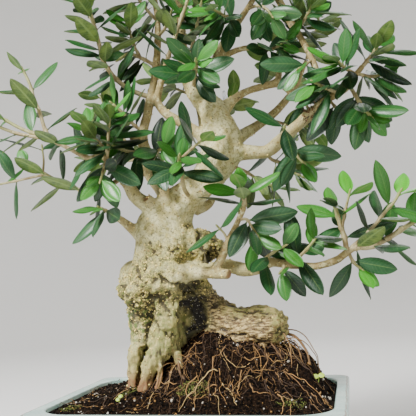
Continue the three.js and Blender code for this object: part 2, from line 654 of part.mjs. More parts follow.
// A blade from its root in the stem to its tip, as a three-sided cone pressed flat and bent.
function blade(leaf) {
  const last = BLADE_STATIONS.length - 1;
  const cone = new THREE.ConeGeometry(1, 1, 3, last);
  const position = cone.getAttribute('position');
  for (let i = 0; i < position.count; i++) {
    const part = BLADE_STATIONS[Math.round((position.getY(i) + 0.5) * last)];
    const [x, z] = [position.getX(i), position.getZ(i)];
    const onAxis = Math.hypot(x, z) < 1e-6;
    const side = Math.abs(x) < 1e-6 ? 0 : Math.sign(x);
    const keel = LEAF.thickness * between(BLADE_DEPTHS, part);
    const depth = onAxis ? keel / 2 : side === 0 ? keel : 0;
    const { x: px, y: py, z: pz } = pointOn(leaf, part, side, depth);
    position.setXYZ(i, px, py, pz);
  }
  return solidOf(cone);
}

// The place on a stem's rings at a fraction of its length.
function placeOn(rings, part) {
  const runs = rings.slice(1).map((ring, i) => ring.at.distanceTo(rings[i].at));
  let left = part * runs.reduce((sum, run) => sum + run, 0);
  let i = 0;
  while (i < runs.length - 1 && left > runs[i]) left -= runs[i++];
  const along = rings[i + 1].at.clone().sub(rings[i].at).normalize();
  const radius = THREE.MathUtils.lerp(rings[i].radius, rings[i + 1].radius, left / runs[i]);
  return { at: rings[i].at.clone().addScaledVector(along, left), along, radius };
}

// Adds the leaves of a stem, in pairs. One that would meet a neighbour is turned round the stem,
// and left out where no turn is free.
function addLeaves(stem, draw) {
  const last = Math.max(stem.pairs - 1, 1);
  for (let k = 0; k < stem.pairs; k++) {
    const age = k / last;
    const place = placeOn(stem.rings, THREE.MathUtils.lerp(stem.from, LAST_PAIR, stem.pairs > 1 ? age : 1));
    const pairTurn = stem.turn + 90 * k + LEAF_DRAW.turn * (draw() - 0.5);
    for (const half of [0, 180]) {
      const share = THREE.MathUtils.lerp(LEAF_DRAW.shortest, LEAF_DRAW.longest, draw());
      const length = LEAF.length * share * THREE.MathUtils.lerp(1, LEAF_DRAW.tip, age ** 3);
      const closing = LEAF_ANGLE.closing * age - LEAF_DRAW.spread * (draw() - 0.5);
      const spread = radians(LEAF_ANGLE.spread - closing);
      const twist = radians(LEAF_DRAW.twist * (draw() - 0.5));
      const fallen = draw() < FALLEN && k < last;
      const roll = radians(pairTurn + half);
      const free = TURNS.map((turn) => leafOn(stem, place, roll + radians(turn), spread, twist, length))
        .find((leaf) => !leafMeetsWood(leaf, stretches) && !leaves.some((other) => leavesMeet(leaf, other)));
      if (free && !fallen) leaves.push(free);
    }
  }
}

// ---------------------------------------------------------------- pot and soil

// The points of a rounded rectangle, counterclockwise: "arc" steps to a corner and "side" points
// between two corners.
function outline(halfX, halfY, corner, arc = 4, side = 0) {
  const centre = (quarter) => [
    (quarter % 4 === 0 || quarter % 4 === 3 ? 1 : -1) * (halfX - corner),
    (quarter % 4 < 2 ? 1 : -1) * (halfY - corner),
  ];
  const onArc = (quarter, share) => {
    const [x, y] = centre(quarter);
    const angle = ((quarter + share) * Math.PI) / 2;
    return [x + corner * Math.cos(angle), y + corner * Math.sin(angle)];
  };
  const points = [];
  for (let quarter = 0; quarter < 4; quarter++) {
    for (let i = 0; i <= arc; i++) points.push(onArc(quarter, i / arc));
    const [from, to] = [onArc(quarter, 1), onArc(quarter + 1, 0)];
    for (let i = 1; i <= side; i++) {
      const share = i / (side + 1);
      points.push([0, 1].map((axis) => THREE.MathUtils.lerp(from[axis], to[axis], share)));
    }
  }
  return points;
}

// A closed form through level rings, each { points, z }: a lathed form whose turns follow their
// outline. A ring with no points is on the axis, and z may be a height for each point.
function stack(levels) {
  const turns = levels.find(({ points }) => points).points.length;
  const profile = levels.map(({ points }, i) => new THREE.Vector2(points ? 1 : 0, i));
  const lathe = new THREE.LatheGeometry(profile, turns);
  const position = lathe.getAttribute('position');
  for (let i = 0; i < position.count; i++) {
    const { points, z } = levels[i % levels.length];
    const [x, y] = points ? points[Math.floor(i / levels.length) % turns] : [0, 0];
    position.setXYZ(i, x, y, typeof z === 'function' ? z(x, y) : z);
  }
  return solidOf(lathe);
}

const potOutline = (inset, corner, side) => (
  outline(POT.length / 2 - inset, POT.depth / 2 - inset, corner, 4, side)
);
const floorTop = POT.foot + POT.floor;
const wallFoot = OPENING.rim + OPENING.wall; // how far in the inside of the wall is at the floor
const insideAt = (z) => THREE.MathUtils.mapLinear(z, floorTop, POT.height, wallFoot, OPENING.rim);

function potSolid() {
  const { lip, rim, corner } = OPENING;
  const shell = stack([
    { z: POT.foot },
    { points: potOutline(WALL.base + WALL.bevel, POT.corner), z: POT.foot },
    { points: potOutline(WALL.base, POT.corner), z: POT.foot + WALL.bevelHeight },
    { points: potOutline(WALL.underLip, POT.corner), z: POT.height - lip - WALL.edge },
    { points: potOutline(0, POT.corner), z: POT.height - lip },
    { points: potOutline(0, POT.corner), z: POT.height - WALL.edge },
    { points: potOutline(WALL.edge, POT.corner), z: POT.height },
    { points: potOutline(rim, corner), z: POT.height },
    { points: potOutline(wallFoot, corner), z: floorTop },
    { z: floorTop },
  ]);
  const foot = stack([
    { z: 0 },
    { points: outline(FOOT.length / 2 - FOOT.taper, FOOT.depth / 2 - FOOT.taper, FOOT.corner, 2), z: 0 },
    { points: outline(FOOT.length / 2, FOOT.depth / 2, FOOT.corner, 2), z: POT.foot + 1 },
    { z: POT.foot + 1 },
  ]);
  const footX = POT.length / 2 - FOOT.inset - FOOT.length / 2;
  const footY = POT.depth / 2 - FOOT.inset - FOOT.depth / 2;
  const feet = [[1, 1], [-1, 1], [-1, -1], [1, -1]].map(([x, y]) => foot.translate(x * footX, y * footY, 0));
  const holes = [-1, 1].map((side) => {
    const hole = new THREE.CylinderGeometry(DRAIN.radius, DRAIN.radius, 4 * POT.floor, 16);
    hole.rotateX(Math.PI / 2).translate((side * DRAIN.spacing) / 2, 0, floorTop);
    return solidOf(hole);
  });
  return holes.reduce((pot, hole) => pot.subtract(hole), joined([shell, ...feet]));
}

// A block with its middle at a point.
function block([length, depth, height], [x, y, z]) {
  return solidOf(new THREE.BoxGeometry(length, depth, height).translate(x, y, z));
}

function screenSolid(x) {
  const z = floorTop + GAP + SCREEN.thickness / 2;
  let screen = block([SCREEN.size, SCREEN.size, SCREEN.thickness], [x, 0, z]);
  for (const row of [-1, 1]) {
    for (const column of [-1, 1]) {
      const middle = [x + (column * SCREEN.pitch) / 2, (row * SCREEN.pitch) / 2, z];
      screen = screen.subtract(block([SCREEN.hole, SCREEN.hole, 2 * SCREEN.thickness], middle));
    }
  }
  return screen;
}

// The height of the soil: level at the wall, and mounded round the roots.
function soilHeight(x, y) {
  const inset = OPENING.rim + 1;
  const wall = Math.min(POT.length / 2 - inset - Math.abs(x), POT.depth / 2 - inset - Math.abs(y));
  const rise = THREE.MathUtils.smoothstep(wall, 0, SOIL_EDGE);
  const mound = MOUNDS.reduce((sum, [centreX, centreY, height, halfX, halfY]) => (
    sum + height * Math.exp(-(((x - centreX) / halfX) ** 2) - ((y - centreY) / halfY) ** 2)
  ), 0);
  const crumbs = 0.8 * Math.sin(x / 7 + 1) * Math.cos(y / 6) + 0.5 * Math.sin((x + y) / 4);
  return SOIL_LEVEL + rise * (mound + crumbs);
}

function soilSolid(wood) {
  const rim = potOutline(insideAt(SOIL_LEVEL) + GAP, OPENING.corner, 3);
  const base = potOutline(wallFoot + GAP, OPENING.corner, 3);
  const inner = [0.22, 0.44, 0.64, 0.82].map((share) => ({
    points: rim.map(([x, y]) => [x * share, y * share]), z: soilHeight,
  }));
  const bottom = floorTop + GAP;
  const fill = stack([
    { z: bottom },
    { points: base, z: bottom },
    { points: rim, z: SOIL_LEVEL },
    ...inner.reverse(),
    { z: soilHeight },
  ]);
  const pocket = SCREEN.size + 2 * GAP;
  const pockets = [-1, 1].map((side) => (
    block([pocket, pocket, 2 * (SCREEN.thickness + GAP)], [(side * DRAIN.spacing) / 2, 0, bottom])
  ));
  return cutBack(pockets.reduce((soil, box) => soil.subtract(box), fill), wood);
}

// ---------------------------------------------------------------- the tree

const woodTubes = Object.entries(WOOD).map(([name, route]) => {
  const rings = woodRings(route);
  const sides = sidesFor(Math.max(...route.slice(1).map((point) => point[3])));
  const grown = tube(rings, sides, { grow: GAP });
  return { name, rings, solid: tube(rings, sides), grown, box: boxOf(grown) };
});
const burls = BURLS.map((burl) => {
  const grown = ball(burl, GAP);
  return { solid: ball(burl), grown, box: boxOf(grown) };
});
const wood = [...woodTubes, ...burls];

// Every stretch of wood and stem between two rings, which leaves keep clear of.
const stretchesOf = (rings, twig) => rings.slice(1).map((ring, i) => ({
  twig, from: rings[i].at, run: ring.at.clone().sub(rings[i].at), thick: rings[i].radius, thin: ring.radius,
}));
const stretches = woodTubes.flatMap(({ rings, name }) => stretchesOf(rings, name));
for (const [x, y, z, radius] of BURLS) {
  const [from, run] = [vector([x, y, z]), vector([0, 0, 0.1])];
  stretches.push({ twig: 'burl', from, run, thick: radius, thin: radius });
}

const stems = Object.entries(TWIGS).flatMap(([twig, list]) => list.map((stem) => (
  { ...stem, twig, rings: stemRings(stem) }
)));
for (const stem of stems) stretches.push(...stretchesOf(stem.rings, stem.twig));

// A twig at the back leans out from its limb, as far round it as its neighbours leave free.
function backStem(limb, index) {
  const { rings } = woodTubes.find(({ name }) => name === limb);
  const { each, first, spiral, step, length, room } = BACK_TWIGS;
  const { at, along } = placeOn(rings, THREE.MathUtils.lerp(first, 1, index / (each - 1)));
  const lean = index === each - 1 ? BACK_TIP : BACK_SIDE;
  const across = squareTo(along);
  for (let turned = 0; turned < 360; turned += step) {
    const roll = radians(spiral * index + turned);
    const out = across.clone().multiplyScalar(Math.cos(roll))
      .addScaledVector(along.clone().cross(across), Math.sin(roll));
    const heading = along.clone().multiplyScalar(lean.along).addScaledVector(out, lean.out)
      .addScaledVector(UP, BACK_TWIGS.rise).normalize();
    const end = at.clone().addScaledVector(heading, length);
    const bend = at.clone().addScaledVector(heading, length / 2).addScaledVector(UP, -BACK_TWIGS.bend);
    const route = [at, bend, end].map((point) => point.toArray());
    const stem = { ...BACK_TWIGS, from: lean.from, turn: 45, route };
    const line = stemRings(stem);
    if (end.y < BACK_BAND.from || end.y > BACK_BAND.to) continue;
    if (line.slice(1).some((ring) => stretches.some((stretch) => outside(stretch, ring.at) < room))) continue;
    return { ...stem, rings: line };
  }
  return null;
}
for (const limb of BACK_TWIGS.limbs) {
  for (let index = 0; index < BACK_TWIGS.each; index++) {
    const stem = backStem(limb, index);
    if (!stem) continue;
    stem.twig = `${limb}_${index + 1}`;
    stems.push(stem);
    stretches.push(...stretchesOf(stem.rings, stem.twig));
  }
}

const leaves = [];
const twigNames = [...new Set(stems.map(({ twig }) => twig))];
twigNames.forEach((twig, number) => {
  const draw = drawsFrom(SEED.first + SEED.next * number);
  for (const stem of stems.filter((one) => one.twig === twig)) addLeaves(stem, draw);
});

function twigSolid(twig) {
  const shoots = stems.filter((stem) => stem.twig === twig)
    .map(({ rings, turn }) => tube(rings, STEM_SIDES, { turn: turn + 180 / STEM_SIDES }));
  const blades = leaves.filter(({ stem }) => stem.twig === twig).map(blade);
  return cutBack(joined([...shoots, ...blades]), wood);
}

// ---------------------------------------------------------------- finishes and the whole

const finish = (color, roughness) => new THREE.MeshStandardMaterial({ color, roughness, metalness: 0 });
const bark = finish(0xb8ab90, 0.85);
const leafGreen = finish(0x3f6b3c, 0.45);
const youngGreen = finish(0x7fae45, 0.5);
const glaze = finish(0xa9c7c0, 0.25);
const earth = finish(0x3b2b20, 1);
const netting = finish(0x2a2a2a, 0.6);

const YOUNG = ['young_shoot', 'far_right', 'rising_end'];

const bonsai = new THREE.Group();
const pot = new THREE.Group();
pot.add(
  meshOf('pot', potSolid(), glaze),
  meshOf('drain_screen_left', screenSolid(-DRAIN.spacing / 2), netting),
  meshOf('drain_screen_right', screenSolid(DRAIN.spacing / 2), netting),
  meshOf('soil', soilSolid(wood), earth),
);
const tree = new THREE.Group();
tree.add(meshOf('trunk', largest(joined(wood.map(({ solid }) => solid))), bark));
for (const twig of twigNames) {
  const root = stems.find((stem) => stem.twig === twig).rings[0].at;
  const green = YOUNG.includes(twig) ? youngGreen : leafGreen;
  tree.add(meshOf(`twig_${twig}`, twigSolid(twig), green, root, SMALLEST_ON_TWIG));
}
bonsai.add(pot, tree);

export default bonsai;
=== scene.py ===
"""An olive bonsai in its glazed pot: fine wood, leaves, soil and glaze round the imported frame."""

import math
from collections import namedtuple

import bmesh
import bpy
import numpy as np
from mathutils import Euler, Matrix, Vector, noise


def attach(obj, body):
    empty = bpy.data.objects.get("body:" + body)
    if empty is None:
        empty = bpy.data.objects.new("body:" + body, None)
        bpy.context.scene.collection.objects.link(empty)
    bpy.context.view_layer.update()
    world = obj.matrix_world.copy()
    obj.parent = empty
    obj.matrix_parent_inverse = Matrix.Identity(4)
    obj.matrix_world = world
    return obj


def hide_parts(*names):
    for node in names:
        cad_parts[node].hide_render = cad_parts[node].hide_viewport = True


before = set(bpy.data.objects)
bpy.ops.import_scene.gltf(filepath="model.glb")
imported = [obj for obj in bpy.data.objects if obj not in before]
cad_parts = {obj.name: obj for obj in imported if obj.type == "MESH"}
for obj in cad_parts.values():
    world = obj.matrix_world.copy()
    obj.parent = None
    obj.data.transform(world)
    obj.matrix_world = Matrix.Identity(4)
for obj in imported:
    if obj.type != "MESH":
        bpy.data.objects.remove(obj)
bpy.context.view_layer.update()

bl_info = {
    "name": "Olive bonsai",
    "version": (1, 0, 0),
    "blender": (4, 5, 0),
    "location": "3D View > Sidebar > Bonsai",
    "description": "Dresses an olive bonsai in its pot, piece by piece",
    "category": "Add Mesh",
}

MM = 0.001
UP = np.array((0.0, 0.0, 1.0))
DEPTH = np.array((0.0, 1.0, 0.0))
WHOLE_TURN = 6.28  # for draws of a turn, in radians

Stem = namedtuple("Stem", "thick pairs start turn route")
Ring = namedtuple("Ring", "at along across off radius")
Place = namedtuple("Place", "at along radius")

# ---------------------------------------------------------------- the skeleton, in millimetres
# Each point is (x, y, z, radius).
WOOD = {
    "bole": [
        (-33, -2, 104, 17), (-33, 0, 118, 17.5), (-33, 2, 129, 20), (-30, 2, 140, 27),
        (-27, 2, 151, 31), (-23, 0, 162, 27.5), (-22, 0, 176, 25.5), (-22, 0, 188, 24),
        (-18, 0, 199, 19), (-11, 0, 209, 14), (-1, 0, 217, 11.5), (8, 0, 224, 11.5), (17, 0, 235, 13.5),
        (23, 0, 247, 15.2), (22, 0, 260, 14), (19, 0, 274, 11), (18, 0, 286, 7),
    ],
    "left_leg": [
        (-40, -6, 122, 9), (-42, -10, 108, 6.5), (-45, -13, 99, 6.2), (-45, -15, 90, 5.4),
        (-45, -16, 83, 5), (-49, -19, 62, 3.5),
    ],
    "middle_leg": [
        (-21, -10, 121, 11), (-21, -17, 110, 9.5), (-26, -22, 100, 7), (-31, -25, 91, 5.2),
        (-33, -27, 83, 5), (-36, -30, 62, 3.5),
    ],
    "side_leg": [
        (-18, -12, 114, 8), (-14, -17, 105, 5), (-11, -20, 97, 3.2), (-9, -22, 90, 2.2),
        (-8, -23, 82, 1.6),
    ],
    "bridge": [(-10, -2, 156, 14), (-2, 2, 142, 13), (2, 8, 128, 14)],
    "small_root": [(-23, -23, 98, 3.4), (-22, -27, 90, 2.2), (-24, -29, 81, 1.8), (-26, -31, 66, 1.4)],
    "back_leg": [(-30, 12, 119, 13), (-27, 26, 102, 9), (-22, 36, 86, 6), (-14, 44, 64, 4)],
    "heart_root": [(-16, 6, 122, 12), (-13, 5, 104, 10), (-10, 4, 90, 7), (-8, 4, 76, 4)],
    "log": [
        (-14, 14, 126, 17), (4, 12, 123, 18), (16, 12, 119, 16.5), (29, 10, 115, 15.5),
        (43, 8, 115, 15.5), (53, 6, 115, 15), (59, 4, 113, 11),
    ],
    "low_stub": [(-39, -6, 185, 6), (-45, -12, 192, 3.9), (-51, -17, 198, 3), (-58, -21, 204, 1.9)],
    "left_limb": [
        (-25, -4, 201, 9), (-35, -10, 210, 6), (-41, -14, 216, 5.2), (-45, -18, 224, 4.4),
        (-49, -22, 231, 3.6), (-54, -26, 238, 2.8), (-61, -30, 246, 2.1),
    ],
    "stub_low": [(-19, -8, 204, 7), (-27, -14, 209, 4.6), (-31, -18, 213, 4.2)],
    "stub_high": [(-16, -10, 206, 6), (-18, -14, 214, 4.2), (-18, -16, 220, 4)],
    "left_leader": [
        (-14, 2, 205, 8), (-23, 3, 216, 5.4), (-31, 2, 237, 4.4), (-37, 0, 255, 4.6),
        (-37, -2, 266, 3.9), (-33, -3, 279, 3.5), (-30, -3, 291, 3.3), (-27, -2, 305, 3.1),
        (-25, 0, 321, 3), (-24, 2, 339, 2.8), (-24, 4, 356, 2.6), (-26, 5, 373, 2.3),
        (-28, 6, 392, 1.7),
    ],
    "knob": [(-37, 0, 259, 4), (-41, -5, 261, 3.7), (-44, -9, 262, 3.5)],
    "cross": [
        (14, -3, 254, 7), (6, -6, 262, 4.4), (-6, -7, 270, 3.8), (-17, -7, 278, 3.4),
        (-23, -6, 287, 3.2), (-22, -7, 295, 2.9), (-18, -9, 305, 2.6), (-14, -10, 317, 2.3),
    ],
    "left_fork": [
        (18, 2, 275, 9), (10, 4, 284, 7), (3, 6, 296, 6.2), (-3, 8, 309, 5.4), (-6, 10, 325, 4.4),
        (-7, 12, 346, 3.6), (-8, 14, 366, 3), (-10, 15, 385, 2.4), (-12, 16, 403, 1.7),
    ],
    "centre_fork": [
        (18, -2, 280, 6.5), (17, -3, 292, 3.6), (19, -4, 304, 3.3), (23, -4, 316, 3.5),
        (28, -4, 326, 3.1), (34, -3, 335, 2.9), (41, -2, 344, 2.7), (47, 0, 353, 2.5),
        (54, 2, 364, 2.4), (60, 4, 379, 2.1), (64, 6, 393, 1.6),
    ],
    "mid_side": [
        (23, -3, 316, 3), (32, 0, 321, 2.7), (40, 2, 324, 2.2), (49, 4, 325, 1.9), (57, 6, 323, 1.4),
    ],
    "right_upper": [
        (23, 4, 278, 7), (32, 6, 286, 3.8), (41, 8, 292, 3), (51, 10, 295, 2.8), (60, 12, 297, 3),
        (68, 13, 298, 3.6), (73, 13, 293, 2.7), (77, 13, 288, 2), (81, 12, 285, 1.4),
    ],
    "right_upper_shoot": [
        (67, 13, 299, 2.8), (68, 14, 307, 2.4), (71, 15, 315, 1.9), (74, 16, 324, 1.4),
    ],
    "right_limb": [
        (26, 0, 246, 11), (39, 2, 245, 6.4), (49, 2, 244, 5.2), (57, 0, 244, 4.7), (65, -4, 248, 4.8),
        (73, -8, 253, 4.4), (82, -12, 259, 4), (90, -16, 264, 4.4), (96, -18, 268, 3.8),
        (103, -20, 273, 2.8), (111, -22, 276, 2.5), (118, -24, 280, 2.5), (123, -26, 286, 2.1),
        (129, -28, 292, 1.8),
    ],
    "droop": [
        (56, 3, 368, 2.4), (66, 3, 368, 2.6), (73, 2, 356, 2.8), (79, 0, 341, 2.9), (86, -4, 327, 2.7),
        (92, -6, 313, 2.6), (97, -8, 298, 2.4),
    ],
    "low_branch": [(-4, -16, 158, 7), (10, -22, 157, 4.4), (21, -25, 156, 3.9), (30, -28, 155, 3.5)],
    "rising": [
        (18, -24, 157, 3.6), (25, -26, 167, 3.2), (30, -27, 177, 2.8), (36, -28, 188, 2.3),
        (43, -29, 201, 1.9),
    ],
    "low_limb": [
        (-8, -8, 160, 9), (10, -12, 159, 6), (25, -12, 161, 5.2), (37, -14, 158, 5),
        (47, -16, 158, 4.4), (58, -18, 162, 3.6), (71, -22, 160, 3.1), (88, -26, 158, 2.8),
        (102, -28, 161, 2.7), (110, -30, 166, 2.6),
    ],
    "burl_wedge": [(0, -2, 178, 14), (12, -4, 175, 11), (21, -5, 174, 6)],
    "neck_stub": [(0, 6, 206, 6), (7, 12, 208, 4), (12, 16, 213, 2.6)],
    "back_left": [
        (-16, 6, 203, 8), (-30, 24, 220, 5), (-46, 40, 238, 3.8), (-62, 50, 258, 2.8),
        (-76, 54, 280, 1.9),
    ],
    "back_middle": [
        (14, 6, 232, 8), (6, 28, 256, 4.8), (0, 44, 282, 3.8), (-6, 52, 310, 2.8), (-8, 56, 338, 1.9),
    ],
    "back_right": [
        (25, 4, 252, 8), (42, 24, 266, 4.4), (60, 40, 282, 3.4), (76, 48, 302, 2.6), (86, 52, 324, 1.9),
    ],
}

# Swellings on the bole: (x, y, z, radius).
BURLS = [
    (-49, -7, 146, 9.5), (-37, -20, 144, 11), (-10, -21, 156, 10), (-34, 22, 150, 11),
    (-8, 19, 160, 11),
]

# A stem loses STEM_TAPER of its thickness from its root to its tip. Its leaves stand in opposite
# pairs, each pair a quarter turn on from the last, from "start" of its length on.
TWIGS = {
    "far_left": [
        Stem(2.1, 4, 0.14, 20, [
            (-61, -30, 246), (-67, -32, 244), (-73, -33, 245), (-83, -35, 251), (-97, -37, 259),
            (-109, -38, 264), (-120, -39, 269), (-133, -40, 277),
        ]),
        Stem(1.8, 2, 0.55, 60, [
            (-97, -37, 259), (-110, -38, 262), (-122, -39, 265), (-134, -41, 270), (-143, -42, 274),
        ]),
        Stem(1.9, 4, 0.14, 10, [
            (-97, -37, 259), (-102, -36, 268), (-106, -35, 280), (-111, -34, 292), (-115, -33, 304),
            (-121, -32, 316),
        ]),
    ],
    "low_left": [
        Stem(2.2, 5, 0.2, 20, [
            (-51, -20, 228), (-60, -19, 224), (-69, -17, 221), (-82, -13, 222), (-92, -11, 227),
            (-104, -10, 232), (-116, -10, 239), (-126, -10, 243), (-134, -10, 247),
        ]),
        Stem(1.3, 2, 0.5, 0, [
            (-116, -10, 238), (-128, -12, 236), (-139, -14, 234), (-152, -16, 232), (-160, -17, 230),
        ]),
        Stem(1.2, 1, 0.9, 80, [(-117, -10, 239), (-115, -12, 248), (-115, -14, 258)]),
    ],
    "left_end": [
        Stem(1.5, 4, 0.25, 0, [
            (-57, -28, 242), (-55, -33, 247), (-59, -37, 253), (-65, -39, 260), (-67, -40, 267),
        ]),
        Stem(1.5, 4, 0.25, 60, [(-57, -28, 242), (-54, -33, 250), (-52, -36, 263), (-50, -37, 275)]),
        Stem(1.4, 3, 0.3, 0, [(-57, -29, 242), (-57, -36, 233), (-57, -42, 225)]),
    ],
    "low_stub_end": [Stem(1.7, 2, 0.55, 0, [(-57, -21, 203), (-60, -24, 205), (-63, -28, 207)])],
    "front_shoot": [
        Stem(2, 3, 0.6, 10, [
            (-1, -6, 212), (-2, -19, 218), (-1, -30, 227), (1, -42, 233), (4, -52, 236),
        ]),
        Stem(1.4, 2, 0.6, 0, [(2, -45, 234), (11, -49, 240), (20, -50, 246)]),
    ],
    "mid_left": [Stem(1.5, 3, 0.4, 0, [(-33, 2, 243), (-23, -12, 248), (-15, -22, 250)])],
    "mid_left_back": [
        Stem(1.6, 4, 0.3, 0, [(-37, 0, 253), (-42, -8, 250), (-49, -14, 251), (-55, -18, 254)]),
    ],
    "left_cluster": [
        Stem(1.6, 5, 0.25, 0, [(-37, -2, 266), (-44, -8, 273), (-49, -14, 280), (-55, -18, 286)]),
    ],
    "top_left": [
        Stem(2.3, 9, 0.26, 0, [
            (-30, -3, 293), (-37, -7, 295), (-45, -10, 299), (-53, -14, 306), (-57, -18, 312),
            (-61, -20, 320), (-63, -22, 332), (-66, -24, 347), (-70, -26, 362), (-72, -27, 377),
            (-73, -28, 386),
        ]),
    ],
    "left_leader_side": [
        Stem(1.8, 4, 0.3, 0, [(-26, 0, 318), (-34, -4, 323), (-44, -8, 327), (-51, -12, 322)]),
        Stem(1.4, 5, 0.15, 30, [(-36, -5, 324), (-40, -8, 333), (-42, -10, 342), (-43, -12, 352)]),
    ],
    "young_shoot": [
        Stem(2, 5, 0.06, 0, [
            (-14, -10, 317), (-9, -12, 328), (-2, -13, 344), (4, -14, 358), (8, -14, 372),
            (11, -14, 382),
        ]),
    ],
    "left_leader_top": [Stem(1.6, 5, 0.15, 0, [(-28, 6, 391), (-29, 6, 402), (-29, 5, 414)])],
    "left_leader_left": [
        Stem(1.5, 5, 0.25, 0, [(-24, 4, 355), (-32, 2, 365), (-38, -2, 374), (-43, -4, 383)]),
    ],
    "left_leader_right": [Stem(1.5, 4, 0.3, 0, [(-24, 2, 341), (-15, -4, 347), (-10, -6, 357)])],
    "left_fork_front": [
        Stem(1.8, 4, 0.4, 0, [(2, 5, 299), (8, -12, 303), (12, -24, 305), (14, -34, 307)]),
    ],
    "left_fork_up": [
        Stem(1.6, 5, 0.3, 0, [(-6, 10, 324), (3, 2, 330), (7, -2, 339), (11, -5, 350), (14, -6, 362)]),
    ],
    "left_fork_top": [Stem(1.6, 5, 0.15, 0, [(-12, 16, 403), (-13, 16, 415), (-13, 15, 425)])],
    "left_fork_back": [
        Stem(1.5, 4, 0.3, 0, [(-8, 14, 370), (-2, 20, 381), (4, 24, 391), (9, 26, 401)]),
    ],
    "centre_front": [
        Stem(1.5, 4, 0.3, 0, [(40, -2, 343), (36, -14, 343), (31, -22, 344), (26, -28, 346)]),
    ],
    "centre_right": [
        Stem(1.5, 4, 0.3, 0, [(48, 0, 354), (57, -6, 353), (64, -14, 346), (68, -20, 338)]),
    ],
    "centre_top": [Stem(1.6, 5, 0.15, 0, [(64, 6, 393), (67, 6, 404), (69, 5, 413)])],
    "centre_left_top": [Stem(1.5, 3, 0.35, 0, [(57, 3, 374), (50, -4, 380), (44, -8, 386)])],
    "mid_side_end": [Stem(1.3, 4, 0.2, 0, [(57, 6, 323), (63, 2, 321), (70, -4, 321), (75, -8, 322)])],
    "right_upper_end": [Stem(1.3, 2, 0.5, 0, [(81, 12, 285), (86, 8, 279), (90, 4, 273)])],
    "right_upper_top": [
        Stem(1.3, 5, 0.2, 0, [(74, 16, 324), (78, 14, 333), (83, 12, 341), (87, 10, 351)]),
    ],
    "droop_side": [
        Stem(1.5, 4, 0.3, 0, [(83, -2, 333), (89, -6, 336), (93, -10, 340), (97, -12, 346)]),
    ],
    "droop_top": [Stem(1.5, 4, 0.3, 0, [(66, 3, 369), (72, 2, 378), (77, 0, 384), (82, -2, 390)])],
    "droop_low": [Stem(1.4, 2, 0.5, 0, [(94, -7, 307), (89, -14, 301), (85, -20, 297)])],
    "right_end": [
        Stem(1.8, 4, 0.25, 0, [(129, -28, 292), (132, -29, 295), (136, -30, 299), (139, -31, 304)]),
    ],
    "right_end_back": [Stem(1.5, 4, 0.3, 0, [(124, -26, 287), (117, -32, 290), (112, -36, 295)])],
    "right_end_right": [Stem(1.5, 4, 0.25, 60, [(125, -27, 287), (133, -24, 285), (142, -22, 286)])],
    "right_low": [
        Stem(1.7, 4, 0.35, 0, [(119, -24, 280), (123, -30, 270), (127, -34, 261), (131, -36, 255)]),
    ],
    "right_left": [Stem(1.5, 3, 0.4, 0, [(111, -22, 276), (103, -32, 278), (96, -38, 281)])],
    "right_under": [Stem(1.4, 2, 0.5, 0, [(104, -20, 273), (108, -24, 267), (111, -28, 260)])],
    "right_mid": [Stem(1.5, 1, 0.8, 0, [(67, -4, 249), (71, -14, 253), (73, -22, 256)])],
    "right_mid_low": [
        Stem(1.5, 2, 0.5, 0, [(73, -8, 252), (76, -10, 244), (80, -12, 236), (84, -13, 231)]),
    ],
    "right_dark": [
        Stem(1.6, 4, 0.35, 0, [(56, 0, 243), (60, 4, 238), (67, 6, 235), (73, 8, 229), (80, 8, 225)]),
    ],
    "neck_right": [
        Stem(1.6, 3, 0.45, 0, [
            (26, 2, 236), (36, 5, 233), (44, 10, 228), (52, 14, 222), (58, 14, 220),
        ]),
    ],
    "rising_end": [Stem(1.8, 4, 0.15, 0, [(43, -29, 201), (43, -30, 207), (42, -32, 214)])],
    "rising_right": [
        Stem(1.3, 3, 0.35, 0, [(38, -28, 192), (44, -30, 192), (48, -31, 186), (52, -32, 179)]),
    ],
    "rising_left": [Stem(1.2, 1, 0.8, 0, [(30, -27, 177), (28, -30, 183), (25, -33, 187)])],
    "low_limb_a": [
        Stem(1.5, 3, 0.35, 0, [(47, -16, 159), (55, -24, 165), (62, -30, 169), (69, -34, 172)]),
    ],
    "low_limb_b": [
        Stem(1.5, 3, 0.35, 0, [(71, -22, 160), (79, -30, 165), (85, -36, 170), (90, -40, 175)]),
    ],
    "low_limb_c": [Stem(1.4, 2, 0.5, 0, [(66, -20, 160), (68, -30, 158), (66, -36, 155)])],
    "far_right": [
        Stem(2.2, 4, 0.3, 0, [
            (110, -30, 166), (109, -32, 176), (107, -34, 184), (105, -36, 193), (104, -37, 198),
        ]),
        Stem(1.3, 2, 0.5, 30, [(108, -34, 183), (111, -36, 194), (114, -37, 204)]),
        Stem(2.5, 6, 0.12, 0, [
            (110, -30, 166), (116, -30, 169), (125, -29, 169), (137, -27, 174), (147, -25, 180),
            (156, -23, 185), (164, -21, 189),
        ]),
        Stem(1.6, 4, 0.35, 20, [
            (113, -30, 169), (123, -32, 177), (131, -33, 185), (137, -34, 192), (142, -35, 197),
            (146, -36, 203),
        ]),
        Stem(1.4, 2, 0.5, 0, [(111, -30, 166), (114, -32, 159), (118, -34, 155)]),
    ],
}

# Twigs that fill the back of the crown, spaced by a rule along the limbs there: the first one stands
# at BACK_FIRST and the last one at its limb's tip, each BACK_SPIRAL degrees on round the limb. One
# that isn't free goes on round it by BACK_STEP, and BACK_ROOM is how clear it keeps of other wood.
BACK_LIMBS = ("back_left", "back_middle", "back_right")
BACK_EACH, BACK_LENGTH = 3, 38
BACK_FIRST, BACK_SPAN = 0.45, 0.55
BACK_SPIRAL, BACK_STEP, BACK_TRIES, BACK_ROOM = 137.5, 30, 12, 6
BACK_RISE, BACK_BEND = 0.25, 2
BACK_BAND = (20, 61)  # how far back their ends may be
BACK_STEM = Stem(1.5, 3, 0.35, 45, [])
BACK_TIP_START = 0.2
SIDE_LEAN, TIP_LEAN = (0.4, 0.9), (1, 0.2)  # along the limb, and out from it

